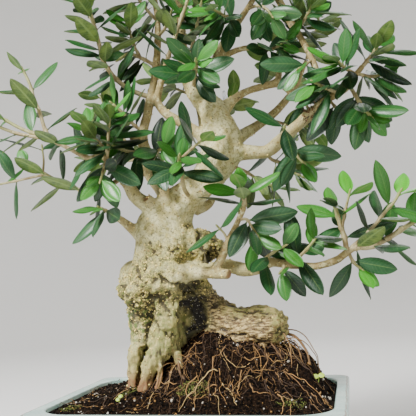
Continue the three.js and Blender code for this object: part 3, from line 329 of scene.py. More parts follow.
LEAF_LENGTH, LEAF_WIDTH, LEAF_THICKNESS, LEAF_SAG = 30, 11.8, 1.3, 0.13
LEAF_ROOT = 0.3  # how far out in its stem a leaf begins, as a share of the stem's radius
BLADE_STATIONS = (0, 0.3, 0.68, 1)  # along the blade, from its root to its tip
BLADE_WIDTHS = (0.06, 0.94, 0.94, 0)  # of its full width, at the stations
SPREAD, CLOSING, DROOP = 64, 24, 0.16
# How far leaves keep from other twigs and from their own, but for the part of a leaf next to its root
# where its pair or its stem may touch it.
CLEAR_OTHER, CLEAR_OWN, PAIR_PART, STEM_PART = 1.3, 0.2, 0.3, 0.4
TURNS = (0, 24, -24, 48, -48, 72, -72)  # round the stem that a leaf may be turned
FALLEN = 0.05  # the share of leaves that have dropped
LAST_PAIR = 0.97  # where the last pair stands, as a share of its stem
STEM_TAPER = 0.35
# Where the faces lean: along the stem, up, and away from the crown's middle, near which they turn.
LIGHT_ALONG, LIGHT_UP, LIGHT_OUT = 0.55, 0.45, 0.5
CROWN_MIDDLE, CROWN_TURN = 8, 15
TURN_DRAW, SPREAD_DRAW, TWIST_DRAW = 16, 16, 50  # in degrees
SHORTEST, LONGEST, TIP_SHARE = 0.86, 1.16, 0.7
SMALL_LEAF = 0.8
OPEN_TWIGS = ("far_left", "low_left", "far_right", "rising_end")
LEAF_SEED, LEAF_SEED_STEP = 7001, 613
FILL_SEED, FILL_SEED_STEP = 3301, 97

# The pot and its soil, in millimetres.
POT_LENGTH, POT_DEPTH, POT_HEIGHT = 210, 162, 70
POT_CORNER, POT_FOOT, POT_FLOOR = 9, 7, 8
RIM, OPENING_CORNER = 9, 24
SOIL_LEVEL, SOIL_EDGE = 67, 16
MOUNDS = (  # x, y, height, half width, half depth
    (42, 9, 39, 58, 46), (-26, 6, 15, 42, 42), (4, -4, 14, 22, 24),
)


# ---------------------------------------------------------------- growth

def unit(vector):
    return vector / math.sqrt(vector @ vector)


def lerp(start, end, share):
    return start + (end - start) * share


DRAW_FACTOR, DRAW_MODULUS = 48271, 2147483647
STRAIGHT_BACK = 0.2  # the sine below which a direction counts as running straight back


def draws_from(seed):
    """A stream of even draws from 0 to 1, the same on every run."""
    state = seed

    def draw():
        nonlocal state
        state = state * DRAW_FACTOR % DRAW_MODULUS
        return state / DRAW_MODULUS
    return draw


def square_to(along):
    """A unit vector square to a direction, in the plane of the crown's front where it can be."""
    across = np.cross(DEPTH, along)
    if math.sqrt(across @ across) < STRAIGHT_BACK:
        across = np.cross((1.0, 0.0, 0.0), along)
    return unit(across)


def rings_of(route, radii):
    """Rings at the points of a route, square to its run, with no twist between them."""
    points = [np.array(point[:3], float) for point in route]
    last = len(points) - 1
    across = None
    rings = []
    for i, at in enumerate(points):
        along = unit(points[min(i + 1, last)] - points[max(i - 1, 0)])
        if across is None:
            across = square_to(along)
        across = unit(across - along * (across @ along))
        rings.append(Ring(at, along, across, np.cross(along, across), radii[i]))
    return rings


def wood_rings(name):
    return rings_of(WOOD[name], [point[3] for point in WOOD[name]])


def stem_rings(stem):
    last = len(stem.route) - 1
    return rings_of(stem.route, [stem.thick * (1 - STEM_TAPER * i / last) for i in range(last + 1)])


def place_on(rings, part):
    """The place on a stem's rings at a fraction of its length."""
    runs = [math.dist(one.at, other.at) for one, other in zip(rings, rings[1:])]
    left = part * sum(runs)
    i = 0
    while i < len(runs) - 1 and left > runs[i]:
        left -= runs[i]
        i += 1
    along = unit(rings[i + 1].at - rings[i].at)
    radius = lerp(rings[i].radius, rings[i + 1].radius, left / runs[i])
    return Place(rings[i].at + along * left, along, radius)


def stretches_of(rings, owner):
    return [(owner, one.at, other.at - one.at, one.radius, other.radius)
            for one, other in zip(rings, rings[1:])]


def wood_stretches():
    return [row for name in WOOD for row in stretches_of(wood_rings(name), name)]


class Stretches:
    """Every stretch of wood and stem between two rings, which leaves keep clear of."""

    def __init__(self, rows):
        owners, starts, runs, thick, thin = zip(*rows)
        self.owners = np.array(owners)
        self.starts, self.runs = np.array(starts), np.array(runs)
        self.thick, self.thin = np.array(thick, float), np.array(thin, float)
        self.squares = (self.runs ** 2).sum(1)

    def outside(self, points, chosen=slice(None)):
        """How far each point is outside each stretch."""
        from_start = points[:, None] - self.starts[chosen]
        share = (from_start * self.runs[chosen]).sum(2) / self.squares[chosen]
        share = np.clip(share, 0, 1)
        gap = np.linalg.norm(from_start - self.runs[chosen] * share[..., None], axis=2)
        return gap - lerp(self.thick[chosen], self.thin[chosen], share)


# Where a leaf is tested against its neighbours: on its middle and its edges, at nine stations.
SAMPLE_PARTS = np.repeat(np.arange(1, 10) / 9, 3)
SAMPLE_SIDES = np.tile((-1.0, 0.0, 1.0), 9)


class Leaf:
    """A leaf of a stem at a place on it, turned round the stem by "roll", its face to the light."""

    def __init__(self, twig, place, roll, spread, twist, length):
        across = square_to(place.along)
        radial = across * math.cos(roll) + np.cross(place.along, across) * math.sin(roll)
        reach = place.along * math.cos(spread) + radial * math.sin(spread)
        reach[2] -= DROOP
        self.reach = unit(reach)
        outward = DEPTH * math.tanh((place.at[1] - CROWN_MIDDLE) / CROWN_TURN)
        level = place.along * LIGHT_ALONG + UP * LIGHT_UP + outward * LIGHT_OUT
        level = unit(level - self.reach * (level @ self.reach))
        self.face = level * math.cos(twist) + np.cross(self.reach, level) * math.sin(twist)
        self.side = np.cross(self.face, self.reach)
        self.twig, self.length = twig, length
        self.root = place.at + radial * (LEAF_ROOT * place.radius)
        self.width = LEAF_WIDTH * math.sqrt(length / LEAF_LENGTH)
        self.middle = self.root + self.reach * length / 2 - self.face * (LEAF_SAG * length / 4)
        depths = LEAF_SAG * length * SAMPLE_PARTS ** 2 + LEAF_THICKNESS / 2
        sides = SAMPLE_SIDES * self.half_width(SAMPLE_PARTS)
        self.samples = (self.root + np.outer(SAMPLE_PARTS * length, self.reach)
                        + np.outer(sides, self.side) - np.outer(depths, self.face))

    def half_width(self, part):
        return self.width * np.interp(part, BLADE_STATIONS, BLADE_WIDTHS) / 2

    def holds(self, points, clearance):
        """Which points are in the leaf, or closer to it than a clearance."""
        from_root = points - self.root
        reach = from_root @ self.reach
        part = np.clip(reach / self.length, 0, 1)
        depth = -(from_root @ self.face) - LEAF_SAG * self.length * part * part
        return ((reach >= -clearance) & (reach <= self.length + clearance)
                & (abs(from_root @ self.side) <= self.half_width(part) + clearance)
                & (depth > -clearance) & (depth < LEAF_THICKNESS + clearance))

    def meets(self, other):
        reach = (self.length + other.length) / 2 + CLEAR_OTHER
        if math.dist(self.middle, other.middle) > reach:
            return False
        own = self.twig == other.twig
        clearance = CLEAR_OWN if own else CLEAR_OTHER
        beyond = SAMPLE_PARTS > (PAIR_PART if own else 0)
        return bool(other.holds(self.samples[beyond], clearance).any()
                    or self.holds(other.samples[beyond], clearance).any())

    def meets_wood(self, stretches):
        near = stretches.outside(self.middle[None])[0] <= self.length / 2 + CLEAR_OTHER
        if not near.any():
            return False
        own = stretches.owners[near] == self.twig
        clearance = np.where(own, CLEAR_OWN, CLEAR_OTHER)
        counted = SAMPLE_PARTS[:, None] > np.where(own, STEM_PART, 0)
        return bool((counted & (stretches.outside(self.samples, near) < clearance)).any())


def leaves_on(twig, stem, draw, leaves, stretches, end=LAST_PAIR, size=1.0):
    """Adds the leaves of a stem, in pairs. One that would meet a neighbour is turned round the
    stem, and left out where no turn is free."""
    rings = stem_rings(stem)
    last = max(stem.pairs - 1, 1)
    for k in range(stem.pairs):
        age = k / last
        place = place_on(rings, lerp(stem.start, end, age if stem.pairs > 1 else 1))
        pair_turn = stem.turn + 90 * k + TURN_DRAW * (draw() - 0.5)
        for half in (0, 180):
            length = size * LEAF_LENGTH * lerp(SHORTEST, LONGEST, draw()) * lerp(1, TIP_SHARE, age ** 3)
            spread = math.radians(SPREAD - CLOSING * age + SPREAD_DRAW * (draw() - 0.5))
            twist = math.radians(TWIST_DRAW * (draw() - 0.5))
            fallen = draw() < FALLEN and k < last
            if fallen:
                continue
            for turn in TURNS:
                roll = math.radians(pair_turn + half + turn)
                leaf = Leaf(twig, place, roll, spread, twist, length)
                if not leaf.meets_wood(stretches) and not any(leaf.meets(one) for one in leaves):
                    leaf.age = age
                    leaves.append(leaf)
                    break


def back_stem(limb, index, stretches):
    """A twig at the back leans out from its limb, as far round it as its neighbours leave free."""
    tip = index == BACK_EACH - 1
    ahead, outward = TIP_LEAN if tip else SIDE_LEAN
    start = BACK_TIP_START if tip else BACK_STEM.start
    place = place_on(wood_rings(limb), BACK_FIRST + BACK_SPAN * index / (BACK_EACH - 1))
    across = square_to(place.along)
    nearest, farthest = BACK_BAND
    for turn in range(BACK_TRIES):
        roll = math.radians(BACK_SPIRAL * index + BACK_STEP * turn)
        lean = across * math.cos(roll) + np.cross(place.along, across) * math.sin(roll)
        heading = unit(place.along * ahead + lean * outward + UP * BACK_RISE)
        end = place.at + heading * BACK_LENGTH
        bend = place.at + heading * (BACK_LENGTH / 2) - UP * BACK_BEND
        stem = BACK_STEM._replace(start=start, route=[place.at, bend, end])
        outer = np.array([ring.at for ring in stem_rings(stem)[1:]])
        clear = (Stretches(stretches).outside(outer) >= BACK_ROOM).all()
        if clear and nearest <= end[1] <= farthest:
            return stem
    return None


def grow():
    """The stems of every twig and all the leaves, placed by the rule."""
    stretches = wood_stretches()
    for x, y, z, radius in BURLS:
        stretches.append(("burl", np.array((x, y, z), float), UP * 0.1, radius, radius))
    twigs = {twig: list(stems) for twig, stems in TWIGS.items()}
    for twig, stems in twigs.items():
        for stem in stems:
            stretches += stretches_of(stem_rings(stem), twig)
    for limb in BACK_LIMBS:
        for index in range(BACK_EACH):
            stem = back_stem(limb, index, stretches)
            if stem:
                twigs[f"{limb}_{index + 1}"] = [stem]
                stretches += stretches_of(stem_rings(stem), f"{limb}_{index + 1}")
    leaves = []
    for number, (twig, stems) in enumerate(twigs.items()):
        draw = draws_from(LEAF_SEED + LEAF_SEED_STEP * number)
        for stem in stems:
            leaves_on(twig, stem, draw, leaves, Stretches(stretches))
    fill_in(twigs, leaves, Stretches(stretches))
    return twigs, leaves


def fill_in(twigs, leaves, stretches):
    """Adds smaller leaves between a stem's pairs where there is room, but for the open twigs."""
    for number, (twig, stems) in enumerate(twigs.items()):
        draw = draws_from(FILL_SEED + FILL_SEED_STEP * number)
        for stem in stems:
            if stem.pairs < 2 or twig in OPEN_TWIGS:
                continue
            half_step = (LAST_PAIR - stem.start) / (stem.pairs - 1) / 2
            between = stem._replace(pairs=stem.pairs - 1, start=stem.start + half_step,
                                    turn=stem.turn + 45)
            leaves_on(twig, between, draw, leaves, stretches, LAST_PAIR - half_step, SMALL_LEAF)


# ---------------------------------------------------------------- shaping

class Clay:
    """Gathers the points and faces of a piece, in millimetres, with marks on its points that its
    finish reads."""

    def __init__(self, *marks):
        self.points, self.faces, self.finishes = [], [], []
        self.marks = {mark: [] for mark in marks}
        self.count = 0

    def add(self, points, faces, finish=0, **marks):
        points = np.asarray(points, float)
        self.points.append(points)
        self.faces += [tuple(corner + self.count for corner in face) for face in faces]
        self.finishes += [finish] * len(faces)
        for mark, values in self.marks.items():
            values.append(np.broadcast_to(np.asarray(marks.get(mark, 0), float), len(points)))
        self.count += len(points)

    def piece(self, name, finishes, smooth=True):
        """The piece as an object, in metres."""
        mesh = bpy.data.meshes.new(name)
        mesh.from_pydata((np.concatenate(self.points) * MM).tolist(), [], self.faces)
        for mark, values in self.marks.items():
            layer = mesh.attributes.new(mark, "FLOAT", "POINT")
            layer.data.foreach_set("value", np.concatenate(values).astype(np.float32))
        for finish in finishes:
            mesh.materials.append(finish)
        mesh.polygons.foreach_set("material_index", self.finishes)
        mesh.polygons.foreach_set("use_smooth", [smooth] * len(self.faces))
        mesh.validate()
        piece = bpy.data.objects.new(name, mesh)
        bpy.context.scene.collection.objects.link(piece)
        return piece


def dress(piece, slot, *nodes):
    """Makes a piece ride with the tree and stand for CAD nodes, which it hides. Its slot is not used.
    """
    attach(piece, "root")
    if nodes:
        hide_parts(*nodes)


def smooth_rows(rows, steps):
    """The rows of a route with "steps" points from each to the next, on a curve through them."""
    rows = np.array([list(row) for row in rows], float)
    before = np.vstack([2 * rows[0] - rows[1], rows])
    after = np.vstack([rows, 2 * rows[-1] - rows[-2]])
    curve = []
    for i in range(len(rows) - 1):
        a, b, c, d = before[i], rows[i], rows[i + 1], after[i + 2]
        for t in np.arange(steps) / steps:
            curve.append(0.5 * (2 * b + (c - a) * t + (2 * a - 5 * b + 4 * c - d) * t ** 2
                                + (3 * b - a - 3 * c + d) * t ** 3))
    curve.append(rows[-1])
    return np.array(curve)


def tube_faces(rings, sides):
    """The faces of a tube of "rings" rings, closed by a point before the first and after the last."""
    faces = []
    for i in range(rings - 1):
        for j in range(sides):
            k = (j + 1) % sides
            faces.append((i * sides + j, i * sides + k, (i + 1) * sides + k, (i + 1) * sides + j))
    first, last = rings * sides, rings * sides + 1
    top = (rings - 1) * sides
    for j in range(sides):
        k = (j + 1) % sides
        faces.append((k, j, first))
        faces.append((top + j, top + k, last))
    return faces


def tube(rows, sides, ripple=None, blunt=0.5):
    """The points of a closed tube along rows of (x, y, z, radius), with domed ends."""
    rings = rings_of(rows, [row[3] for row in rows])
    angles = 2 * math.pi * np.arange(sides) / sides
    points = []
    for ring in rings:
        reach = ring.radius * (np.ones(sides) if ripple is None else ripple(ring, angles))
        points.append(ring.at + np.outer(np.cos(angles) * reach, ring.across)
                      + np.outer(np.sin(angles) * reach, ring.off))
    ends = [rings[0].at - rings[0].along * rings[0].radius * blunt,
            rings[-1].at + rings[-1].along * rings[-1].radius * blunt]
    return np.vstack(points + [ends])


def level_stack(levels, ends):
    """The points and faces of a closed form through level rings of equal count, with two end points."""
    count = len(levels[0])
    points = np.vstack(levels + [ends])
    return points, tube_faces(len(levels), count)


def outline(half_x, half_y, corner, arc, side):
    """A rounded rectangle, counterclockwise: "arc" steps to a corner and "side" points between."""
    points = []
    centres = [(1, 1), (-1, 1), (-1, -1), (1, -1)]
    for quarter, (x, y) in enumerate(centres):
        for i in range(arc + 1):
            angle = (quarter + i / arc) * math.pi / 2
            points.append((x * (half_x - corner) + corner * math.cos(angle),
                           y * (half_y - corner) + corner * math.sin(angle)))
        next_x, next_y = centres[(quarter + 1) % 4]
        angle = (quarter + 1) * math.pi / 2
        end = np.array((next_x * (half_x - corner) + corner * math.cos(angle),
                        next_y * (half_y - corner) + corner * math.sin(angle)))
        for i in range(side):
            points.append(tuple(lerp(np.array(points[-1 - i]), end, (i + 1) / (side + 1))))
    return np.array(points)


def noise_at(points, size, octaves=3, stretch=(1, 1, 1), shift=0.0):
    """Even noise from about -1 to 1 at points in millimetres, its lumps about "size" across."""
    scaled = np.asarray(points) / (size * np.array(stretch)) + shift
    return np.array([noise.fractal(Vector(point), 1.0, 2.0, octaves) for point in scaled])


def cells_at(points, size, stretch=(1, 1, 1)):
    """The distance to the nearest cell's middle, as a share of the cells' size."""
    scaled = np.asarray(points) / (size * np.array(stretch))
    return np.array([noise.voronoi(Vector(point))[0][0] for point in scaled])


def step(value, low, high):
    """A smooth rise from 0 at low to 1 at high."""
    share = np.clip((value - low) / (high - low), 0, 1)
    return share * share * (3 - 2 * share)


FULL_TO, GONE_FROM = 0.45, 1.1  # shares of an oval's reach


def near(points, middle, reach):
    """1 in the middle of an oval place, falling to 0 just past its edge."""
    away = np.linalg.norm((points - np.array(middle)) / np.array(reach), axis=1)
    return 1 - step(away, FULL_TO, GONE_FROM)


# ---------------------------------------------------------------- finishes

class Finish:
    """Builds a material's nodes. Sizes are in millimetres on the object."""

    def __init__(self, name, **constants):
        self.material = bpy.data.materials.new(name)
        self.material.use_nodes = True
        self.tree = self.material.node_tree
        self.shader = self.tree.nodes["Principled BSDF"]
        self.where = self.tree.nodes.new("ShaderNodeTexCoord").outputs["Object"]
        for socket, value in constants.items():
            self.shader.inputs[socket.replace("_", " ")].default_value = value

    def link(self, value, socket):
        if isinstance(value, bpy.types.NodeSocket):
            self.tree.links.new(value, socket)
        else:
            socket.default_value = value

    def mark(self, name):
        node = self.tree.nodes.new("ShaderNodeAttribute")
        node.attribute_name = name
        return node.outputs["Fac"]

    def stretched(self, stretch):
        node = self.tree.nodes.new("ShaderNodeMapping")
        node.inputs["Scale"].default_value = [1 / amount for amount in stretch]
        self.link(self.where, node.inputs["Vector"])
        return node.outputs["Vector"]

    def noise(self, size, detail=3.0, stretch=(1, 1, 1)):
        node = self.tree.nodes.new("ShaderNodeTexNoise")
        node.inputs["Scale"].default_value = 1 / (size * MM)
        node.inputs["Detail"].default_value = detail
        self.link(self.stretched(stretch), node.inputs["Vector"])
        return node.outputs["Fac"]

    def cells(self, size, stretch=(1, 1, 1), feature="F1"):
        node = self.tree.nodes.new("ShaderNodeTexVoronoi")
        node.feature = feature
        node.inputs["Scale"].default_value = 1 / (size * MM)
        self.link(self.stretched(stretch), node.inputs["Vector"])
        return node.outputs["Distance"]

    def math(self, operation, one, other=0.0):
        node = self.tree.nodes.new("ShaderNodeMath")
        node.operation = operation
        self.link(one, node.inputs[0])
        self.link(other, node.inputs[1])
        return node.outputs[0]

    def rise(self, value, low, high, start=0.0, end=1.0):
        """A smooth change from "start" where a value is low to "end" where it is high."""
        node = self.tree.nodes.new("ShaderNodeMapRange")
        node.interpolation_type = "SMOOTHSTEP"
        for socket, amount in zip(node.inputs, (value, low, high, start, end)):
            self.link(amount, socket)
        return node.outputs["Result"]

    def mix(self, share, one, other):
        """One colour going over to another. Sockets 6 and 7 take them, and 2 gives the result."""
        node = self.tree.nodes.new("ShaderNodeMix")
        node.data_type = "RGBA"
        self.link(share, node.inputs["Factor"])
        self.link(one, node.inputs[6])
        self.link(other, node.inputs[7])
        return node.outputs[2]

    def bump(self, height, depth, below=None):
        node = self.tree.nodes.new("ShaderNodeBump")
        node.inputs["Distance"].default_value = depth * MM
        self.link(height, node.inputs["Height"])
        if below is not None:
            self.link(below, node.inputs["Normal"])
        return node.outputs["Normal"]

    def give(self, **sockets):
        for socket, value in sockets.items():
            self.link(value, self.shader.inputs[socket.replace("_", " ")])
        return self.material


def paint(red, green, blue):
    """A colour from its 0 to 255 values on a screen, as the shader reads it."""
    return tuple((level / 255 / 12.92 if level < 10.3 else ((level / 255 + 0.055) / 1.055) ** 2.4)
                 for level in (red, green, blue)) + (1.0,)


def leaf_top_finish(settings):
    """Deep glossy green with a pale midrib and edge, fresher on young leaves."""
    finish = Finish("leaf_top", Coat_Weight=0.16, Coat_Roughness=0.24, Specular_IOR_Level=0.35)
    tint, young = finish.mark("tint"), finish.mark("young")
    along, across = finish.mark("along"), finish.mark("across")
    off_rib = finish.math("ABSOLUTE", across)
    cloud = finish.noise(5, 3)
    old = finish.mix(finish.rise(tint, 0, 1), settings.deep, settings.green)
    old = finish.mix(finish.rise(cloud, 0.35, 0.75, 0, 0.4), old, settings.green)
    colour = finish.mix(young, old, settings.young)
    ribs = vein_lines(finish, along, off_rib)
    colour = finish.mix(finish.rise(ribs, 0.5, 1, 0, 0.08), colour, settings.rib)
    colour = finish.mix(finish.rise(off_rib, 0.02, 0.08, 0.22, 0), colour, settings.rib)
    colour = finish.mix(finish.rise(off_rib, 0.95, 1.0, 0, 0.3), colour, settings.rib)
    colour = finish.mix(finish.rise(along, 0.0, 0.08, 0.8, 0), colour, settings.rib)
    relief = finish.math("ADD", finish.math("MULTIPLY", ribs, -0.6), finish.noise(0.5, 2))
    return finish.give(Base_Color=colour, Normal=finish.bump(relief, 0.12),
                       Roughness=finish.rise(cloud, 0.3, 0.7, 0.38, 0.54))


VEINS, VEIN_LEAN = 11, 1.6


def vein_lines(finish, along, off_rib):
    """1 on the side veins, which lean towards the tip, and 0 between them."""
    lean = finish.math("SUBTRACT", finish.math("MULTIPLY", along, VEINS),
                       finish.math("MULTIPLY", off_rib, VEIN_LEAN))
    wave = finish.math("SINE", finish.math("MULTIPLY", lean, 2 * math.pi))
    return finish.rise(wave, 0.72, 1.0)


def leaf_under_finish(settings):
    """The pale dull underside, with a raised midrib."""
    finish = Finish("leaf_under", Roughness=0.62, Sheen_Weight=0.12)
    tint, young = finish.mark("tint"), finish.mark("young")
    along, off_rib = finish.mark("along"), finish.math("ABSOLUTE", finish.mark("across"))
    cloud = finish.rise(finish.noise(6, 3), 0.3, 0.7, 0, 1)
    shade = finish.mix(cloud, settings.under, settings.under_dark)
    shade = finish.mix(finish.rise(tint, 0, 1, 0, 0.5), shade, settings.under_dark)
    colour = finish.mix(finish.math("MULTIPLY", young, 0.6), shade, settings.young)
    ribs = vein_lines(finish, along, off_rib)
    colour = finish.mix(finish.rise(off_rib, 0.07, 0.16, 0.8, 0), colour, settings.rib)
    colour = finish.mix(finish.rise(ribs, 0.4, 1, 0, 0.2), colour, settings.rib)
    relief = finish.math("ADD", ribs, finish.noise(0.4, 2))
    return finish.give(Base_Color=colour, Normal=finish.bump(relief, 0.1))


def shoot_finish(settings):
    """Young wood: green at the tip of a shoot, tan and dotted at its root."""
    finish = Finish("shoot", Roughness=0.6)
    age = finish.mark("along")
    cloud = finish.noise(3, 4, (1, 1, 2.5))
    grown = finish.mix(finish.rise(cloud, 0.3, 0.7), settings.shoot, settings.shoot_dark)
    colour = finish.mix(finish.rise(age, 0.45, 1, 0, 0.75), grown, settings.shoot_green)
    dots = finish.cells(1.9, (1, 1, 1.4))
    colour = finish.mix(finish.rise(dots, 0.1, 0.24, 0.8, 0), colour, settings.knot)
    grain = finish.noise(0.9, 4)
    colour = finish.mix(finish.rise(grain, 0.5, 0.7, 0, 0.5), colour, settings.shoot_dark)
    relief = finish.math("SUBTRACT", finish.noise(0.7, 3), dots)
    return finish.give(Base_Color=colour, Normal=finish.bump(relief, 0.25))


def bark_finish(settings):
    """Cream bark, grainy and pitted where it is rough, green in its folds, red-brown at the soil, with
    painted shade in its dents and creases, over the bridge and, near-black, in the hollow.
    """
    finish = Finish("bark", Roughness=0.82)
    rough, fold, log = finish.mark("rough"), finish.mark("fold"), finish.mark("log")
    hollow, green, red, thin = (finish.mark(name) for name in ("hollow", "green", "red", "thin"))
    shade, lichen, gritty, leg = (finish.mark(name) for name in ("shade", "lichen", "gritty", "leg"))
    wide, grain, fine = finish.noise(7, 4), finish.noise(2.6, 5), finish.noise(1.1, 4)
    colour = finish.mix(finish.rise(wide, 0.42, 0.64, 0, 0.75), settings.cream, settings.sand)
    colour = finish.mix(finish.rise(grain, 0.46, 0.64, 0, 0.6), colour, settings.olive_bark)
    # Dark where the fine noise dips, which also dents the bump: real pits, with painted shade in them;
    # the same below on the rough bark, the log and the thin limbs.
    colour = finish.mix(finish.rise(fine, 0.45, 0.33, 0, 0.6), colour, settings.pit_and_shade)
    coarse = finish.mix(finish.rise(grain, 0.36, 0.6), settings.olive_bark, settings.sand)
    coarse = finish.mix(finish.rise(fine, 0.56, 0.7, 0, 0.8), coarse, settings.bead)
    coarse = finish.mix(finish.rise(fine, 0.47, 0.37, 0, 0.9), coarse, settings.pit_and_shade)
    colour = finish.mix(rough, colour, coarse)
    ridged = finish.noise(2.0, 4, (1, 1, 3.5))
    wood = finish.mix(finish.rise(ridged, 0.4, 0.6), settings.olive_bark, settings.sand)
    colour = finish.mix(finish.math("MULTIPLY", leg, 0.75), colour, wood)
    streaks = finish.noise(1.5, 5, (3.2, 1, 0.7))
    wood = finish.mix(finish.rise(streaks, 0.4, 0.6), settings.log_dark, settings.log_light)
    wood = finish.mix(finish.rise(fine, 0.44, 0.34, 0, 0.8), wood, settings.pit_and_shade)
    crust = finish.math("MULTIPLY", lichen, finish.rise(grain, 0.38, 0.56))
    wood = finish.mix(crust, wood, settings.lichen)
    colour = finish.mix(log, colour, wood)
    shoot = finish.mix(finish.rise(grain, 0.5, 0.72), settings.twig_bark, settings.cream)
    shoot = finish.mix(finish.rise(fine, 0.42, 0.32, 0, 0.8), shoot, settings.pit_and_shade)
    colour = finish.mix(finish.math("MULTIPLY", thin, 0.9), colour, shoot)
    patch = finish.rise(finish.noise(3.4, 5), 0.42, 0.56)
    colour = finish.mix(finish.math("MULTIPLY", green, patch), colour, settings.moss_film)
    dots = finish.rise(finish.cells(6.5, (1.2, 1, 0.8)), 0.09, 0.19, 0.8, 0)
    colour = finish.mix(dots, colour, settings.lenticel)
    # Small dents from the cells, darkened: painted shade in them.
    specks = finish.rise(finish.cells(4.2, (1, 1, 0.8)), 0.06, 0.16, 0.85, 0)
    colour = finish.mix(specks, colour, settings.pit_and_shade)
    shade = finish.math("MULTIPLY", shade, finish.rise(streaks, 0.35, 0.6, 0.85, 0.4))
    colour = finish.mix(shade, colour, settings.pit_and_shade)
    # Painted shade in the dents, creases and gaps of the bark, from the fold mark.
    colour = finish.mix(finish.rise(fold, 0.2, 0.9, 0, 0.85), colour, settings.pit_and_shade)
    red = finish.math("MULTIPLY", red, finish.rise(grain, 0.35, 0.6, 0.4, 0.9))
    colour = finish.mix(red, colour, settings.red_bark)
    # Painted shade: the hollow and the undercut under the bole go near-black.
    black = finish.math("MULTIPLY", hollow, finish.rise(grain, 0.68, 0.56, 0.5, 1))
    colour = finish.mix(black, colour, settings.hollow)
    flecks = finish.math("MAXIMUM", finish.math("MAXIMUM", hollow, gritty),
                         finish.math("MULTIPLY", log, 0.3))
    crumbs = finish.math("MULTIPLY", flecks, finish.rise(finish.cells(1.9), 0.12, 0.2, 1, 0))
    colour = finish.mix(crumbs, colour, settings.crumb)
    relief = finish.math("MULTIPLY", grain, finish.rise(rough, 0, 1, 0.5, 1.5))
    small = finish.math("MULTIPLY", fine, finish.rise(rough, 0, 1, 0.3, 0.9))
    relief = finish.math("ADD", relief, small)
    relief = finish.math("ADD", relief, finish.math("MULTIPLY", streaks, log))
    relief = finish.math("SUBTRACT", relief, finish.math("MULTIPLY", specks, 0.8))
    return finish.give(Base_Color=colour, Normal=finish.bump(relief, 0.8),
                       Roughness=finish.rise(fine, 0.3, 0.7, 0.7, 0.92))


def bead_finish(settings):
    """Corky beads that stand on the bark, sand to pale yellow by their mark, mottled olive."""
    finish = Finish("bark_bead", Roughness=0.7)
    kind = finish.mark("kind")
    colour = finish.mix(finish.rise(kind, 0.2, 0.9), settings.sand, settings.bead)
    cloud = finish.rise(finish.noise(0.7, 3), 0.4, 0.7, 0, 0.4)
    colour = finish.mix(cloud, colour, settings.olive_bark)
    return finish.give(Base_Color=colour, Normal=finish.bump(finish.noise(0.5, 2), 0.1))


def bristle_finish(settings):
    """Dry brown scales, some of them paler."""
    finish = Finish("bristle", Roughness=0.85)
    colour = finish.mix(finish.rise(finish.mark("kind"), 0.3, 1), settings.pit_and_shade, settings.bristle)
    colour = finish.mix(finish.rise(finish.noise(0.8, 3), 0.5, 0.7, 0, 0.5), colour, settings.sand)
    return finish.give(Base_Color=colour, Normal=finish.bump(finish.noise(0.5, 2), 0.1))


def glaze_finish(settings):
    """Pale blue-green glaze, crackled, thin and brown along the rim's edges."""
    finish = Finish("glaze", Coat_Weight=0.35, Coat_Roughness=0.08, Roughness=0.22)
    inset, bare = finish.mark("inset"), finish.mark("bare")
    cloud = finish.noise(18, 4)
    colour = finish.mix(finish.rise(cloud, 0.3, 0.7), settings.glaze, settings.glaze_thin)
    crackle = finish.cells(7, feature="DISTANCE_TO_EDGE")
    colour = finish.mix(finish.rise(crackle, 0.0, 0.035, 0.35, 0), colour, settings.glaze_line)
    wander = finish.math("ADD", inset, finish.rise(finish.noise(9, 2), 0.3, 0.7, -0.35, 0.35))
    from_line = finish.math("ABSOLUTE", finish.math("SUBTRACT", wander, settings.line_inset))
    line = finish.math("MULTIPLY", finish.rise(from_line, 0.25, 0.75, 0.85, 0),
                       finish.rise(finish.noise(6, 3), 0.35, 0.55, 0.35, 1))
    colour = finish.mix(line, colour, settings.rim_line)
    spots = finish.rise(finish.cells(5), 0.05, 0.09, 0.6, 0)
    colour = finish.mix(spots, colour, settings.rim_line)
    clay = finish.mix(finish.rise(finish.noise(1.2, 4), 0.35, 0.65), settings.clay, settings.rim_line)
    colour = finish.mix(bare, colour, clay)
    coarse = finish.math("MULTIPLY", finish.noise(0.8, 3), bare)
    relief = finish.math("ADD", finish.noise(12, 2), coarse)
    return finish.give(Base_Color=colour, Roughness=finish.rise(bare, 0, 1, 0.2, 0.85),
                       Normal=finish.bump(relief, 0.3))


def earth_finish(settings):
    """Dark moist soil with lighter fibres and crumbs."""
    finish = Finish("earth", Roughness=1.0, Specular_IOR_Level=0.05)
    fine = finish.noise(1.3, 5)
    colour = finish.mix(finish.rise(fine, 0.42, 0.68), settings.earth, settings.earth_light)
    colour = finish.mix(finish.rise(finish.cells(1.8), 0.08, 0.16, 0.3, 0), colour, settings.fibre)
    relief = finish.math("ADD", finish.noise(2.4, 4), finish.math("MULTIPLY", fine, 0.6))
    return finish.give(Base_Color=colour, Normal=finish.bump(relief, 1.2))


def grit_finish(settings):
    """Crumbs of bark, grit and pumice: dark, brown, tan or white by their mark."""
    finish = Finish("grit", Roughness=0.95, Specular_IOR_Level=0.1)
    kind = finish.mark("kind")
    colour = finish.mix(finish.rise(kind, 0.7, 0.8), settings.earth, settings.earth_light)
    colour = finish.mix(finish.rise(kind, 0.92, 0.94), colour, settings.fibre)
    colour = finish.mix(finish.rise(kind, 0.95, 0.96), colour, settings.crumb)
    colour = finish.mix(finish.rise(finish.noise(0.8, 3), 0.4, 0.7, 0, 0.5), colour, settings.earth)
    return finish.give(Base_Color=colour, Normal=finish.bump(finish.noise(0.6, 3), 0.3))


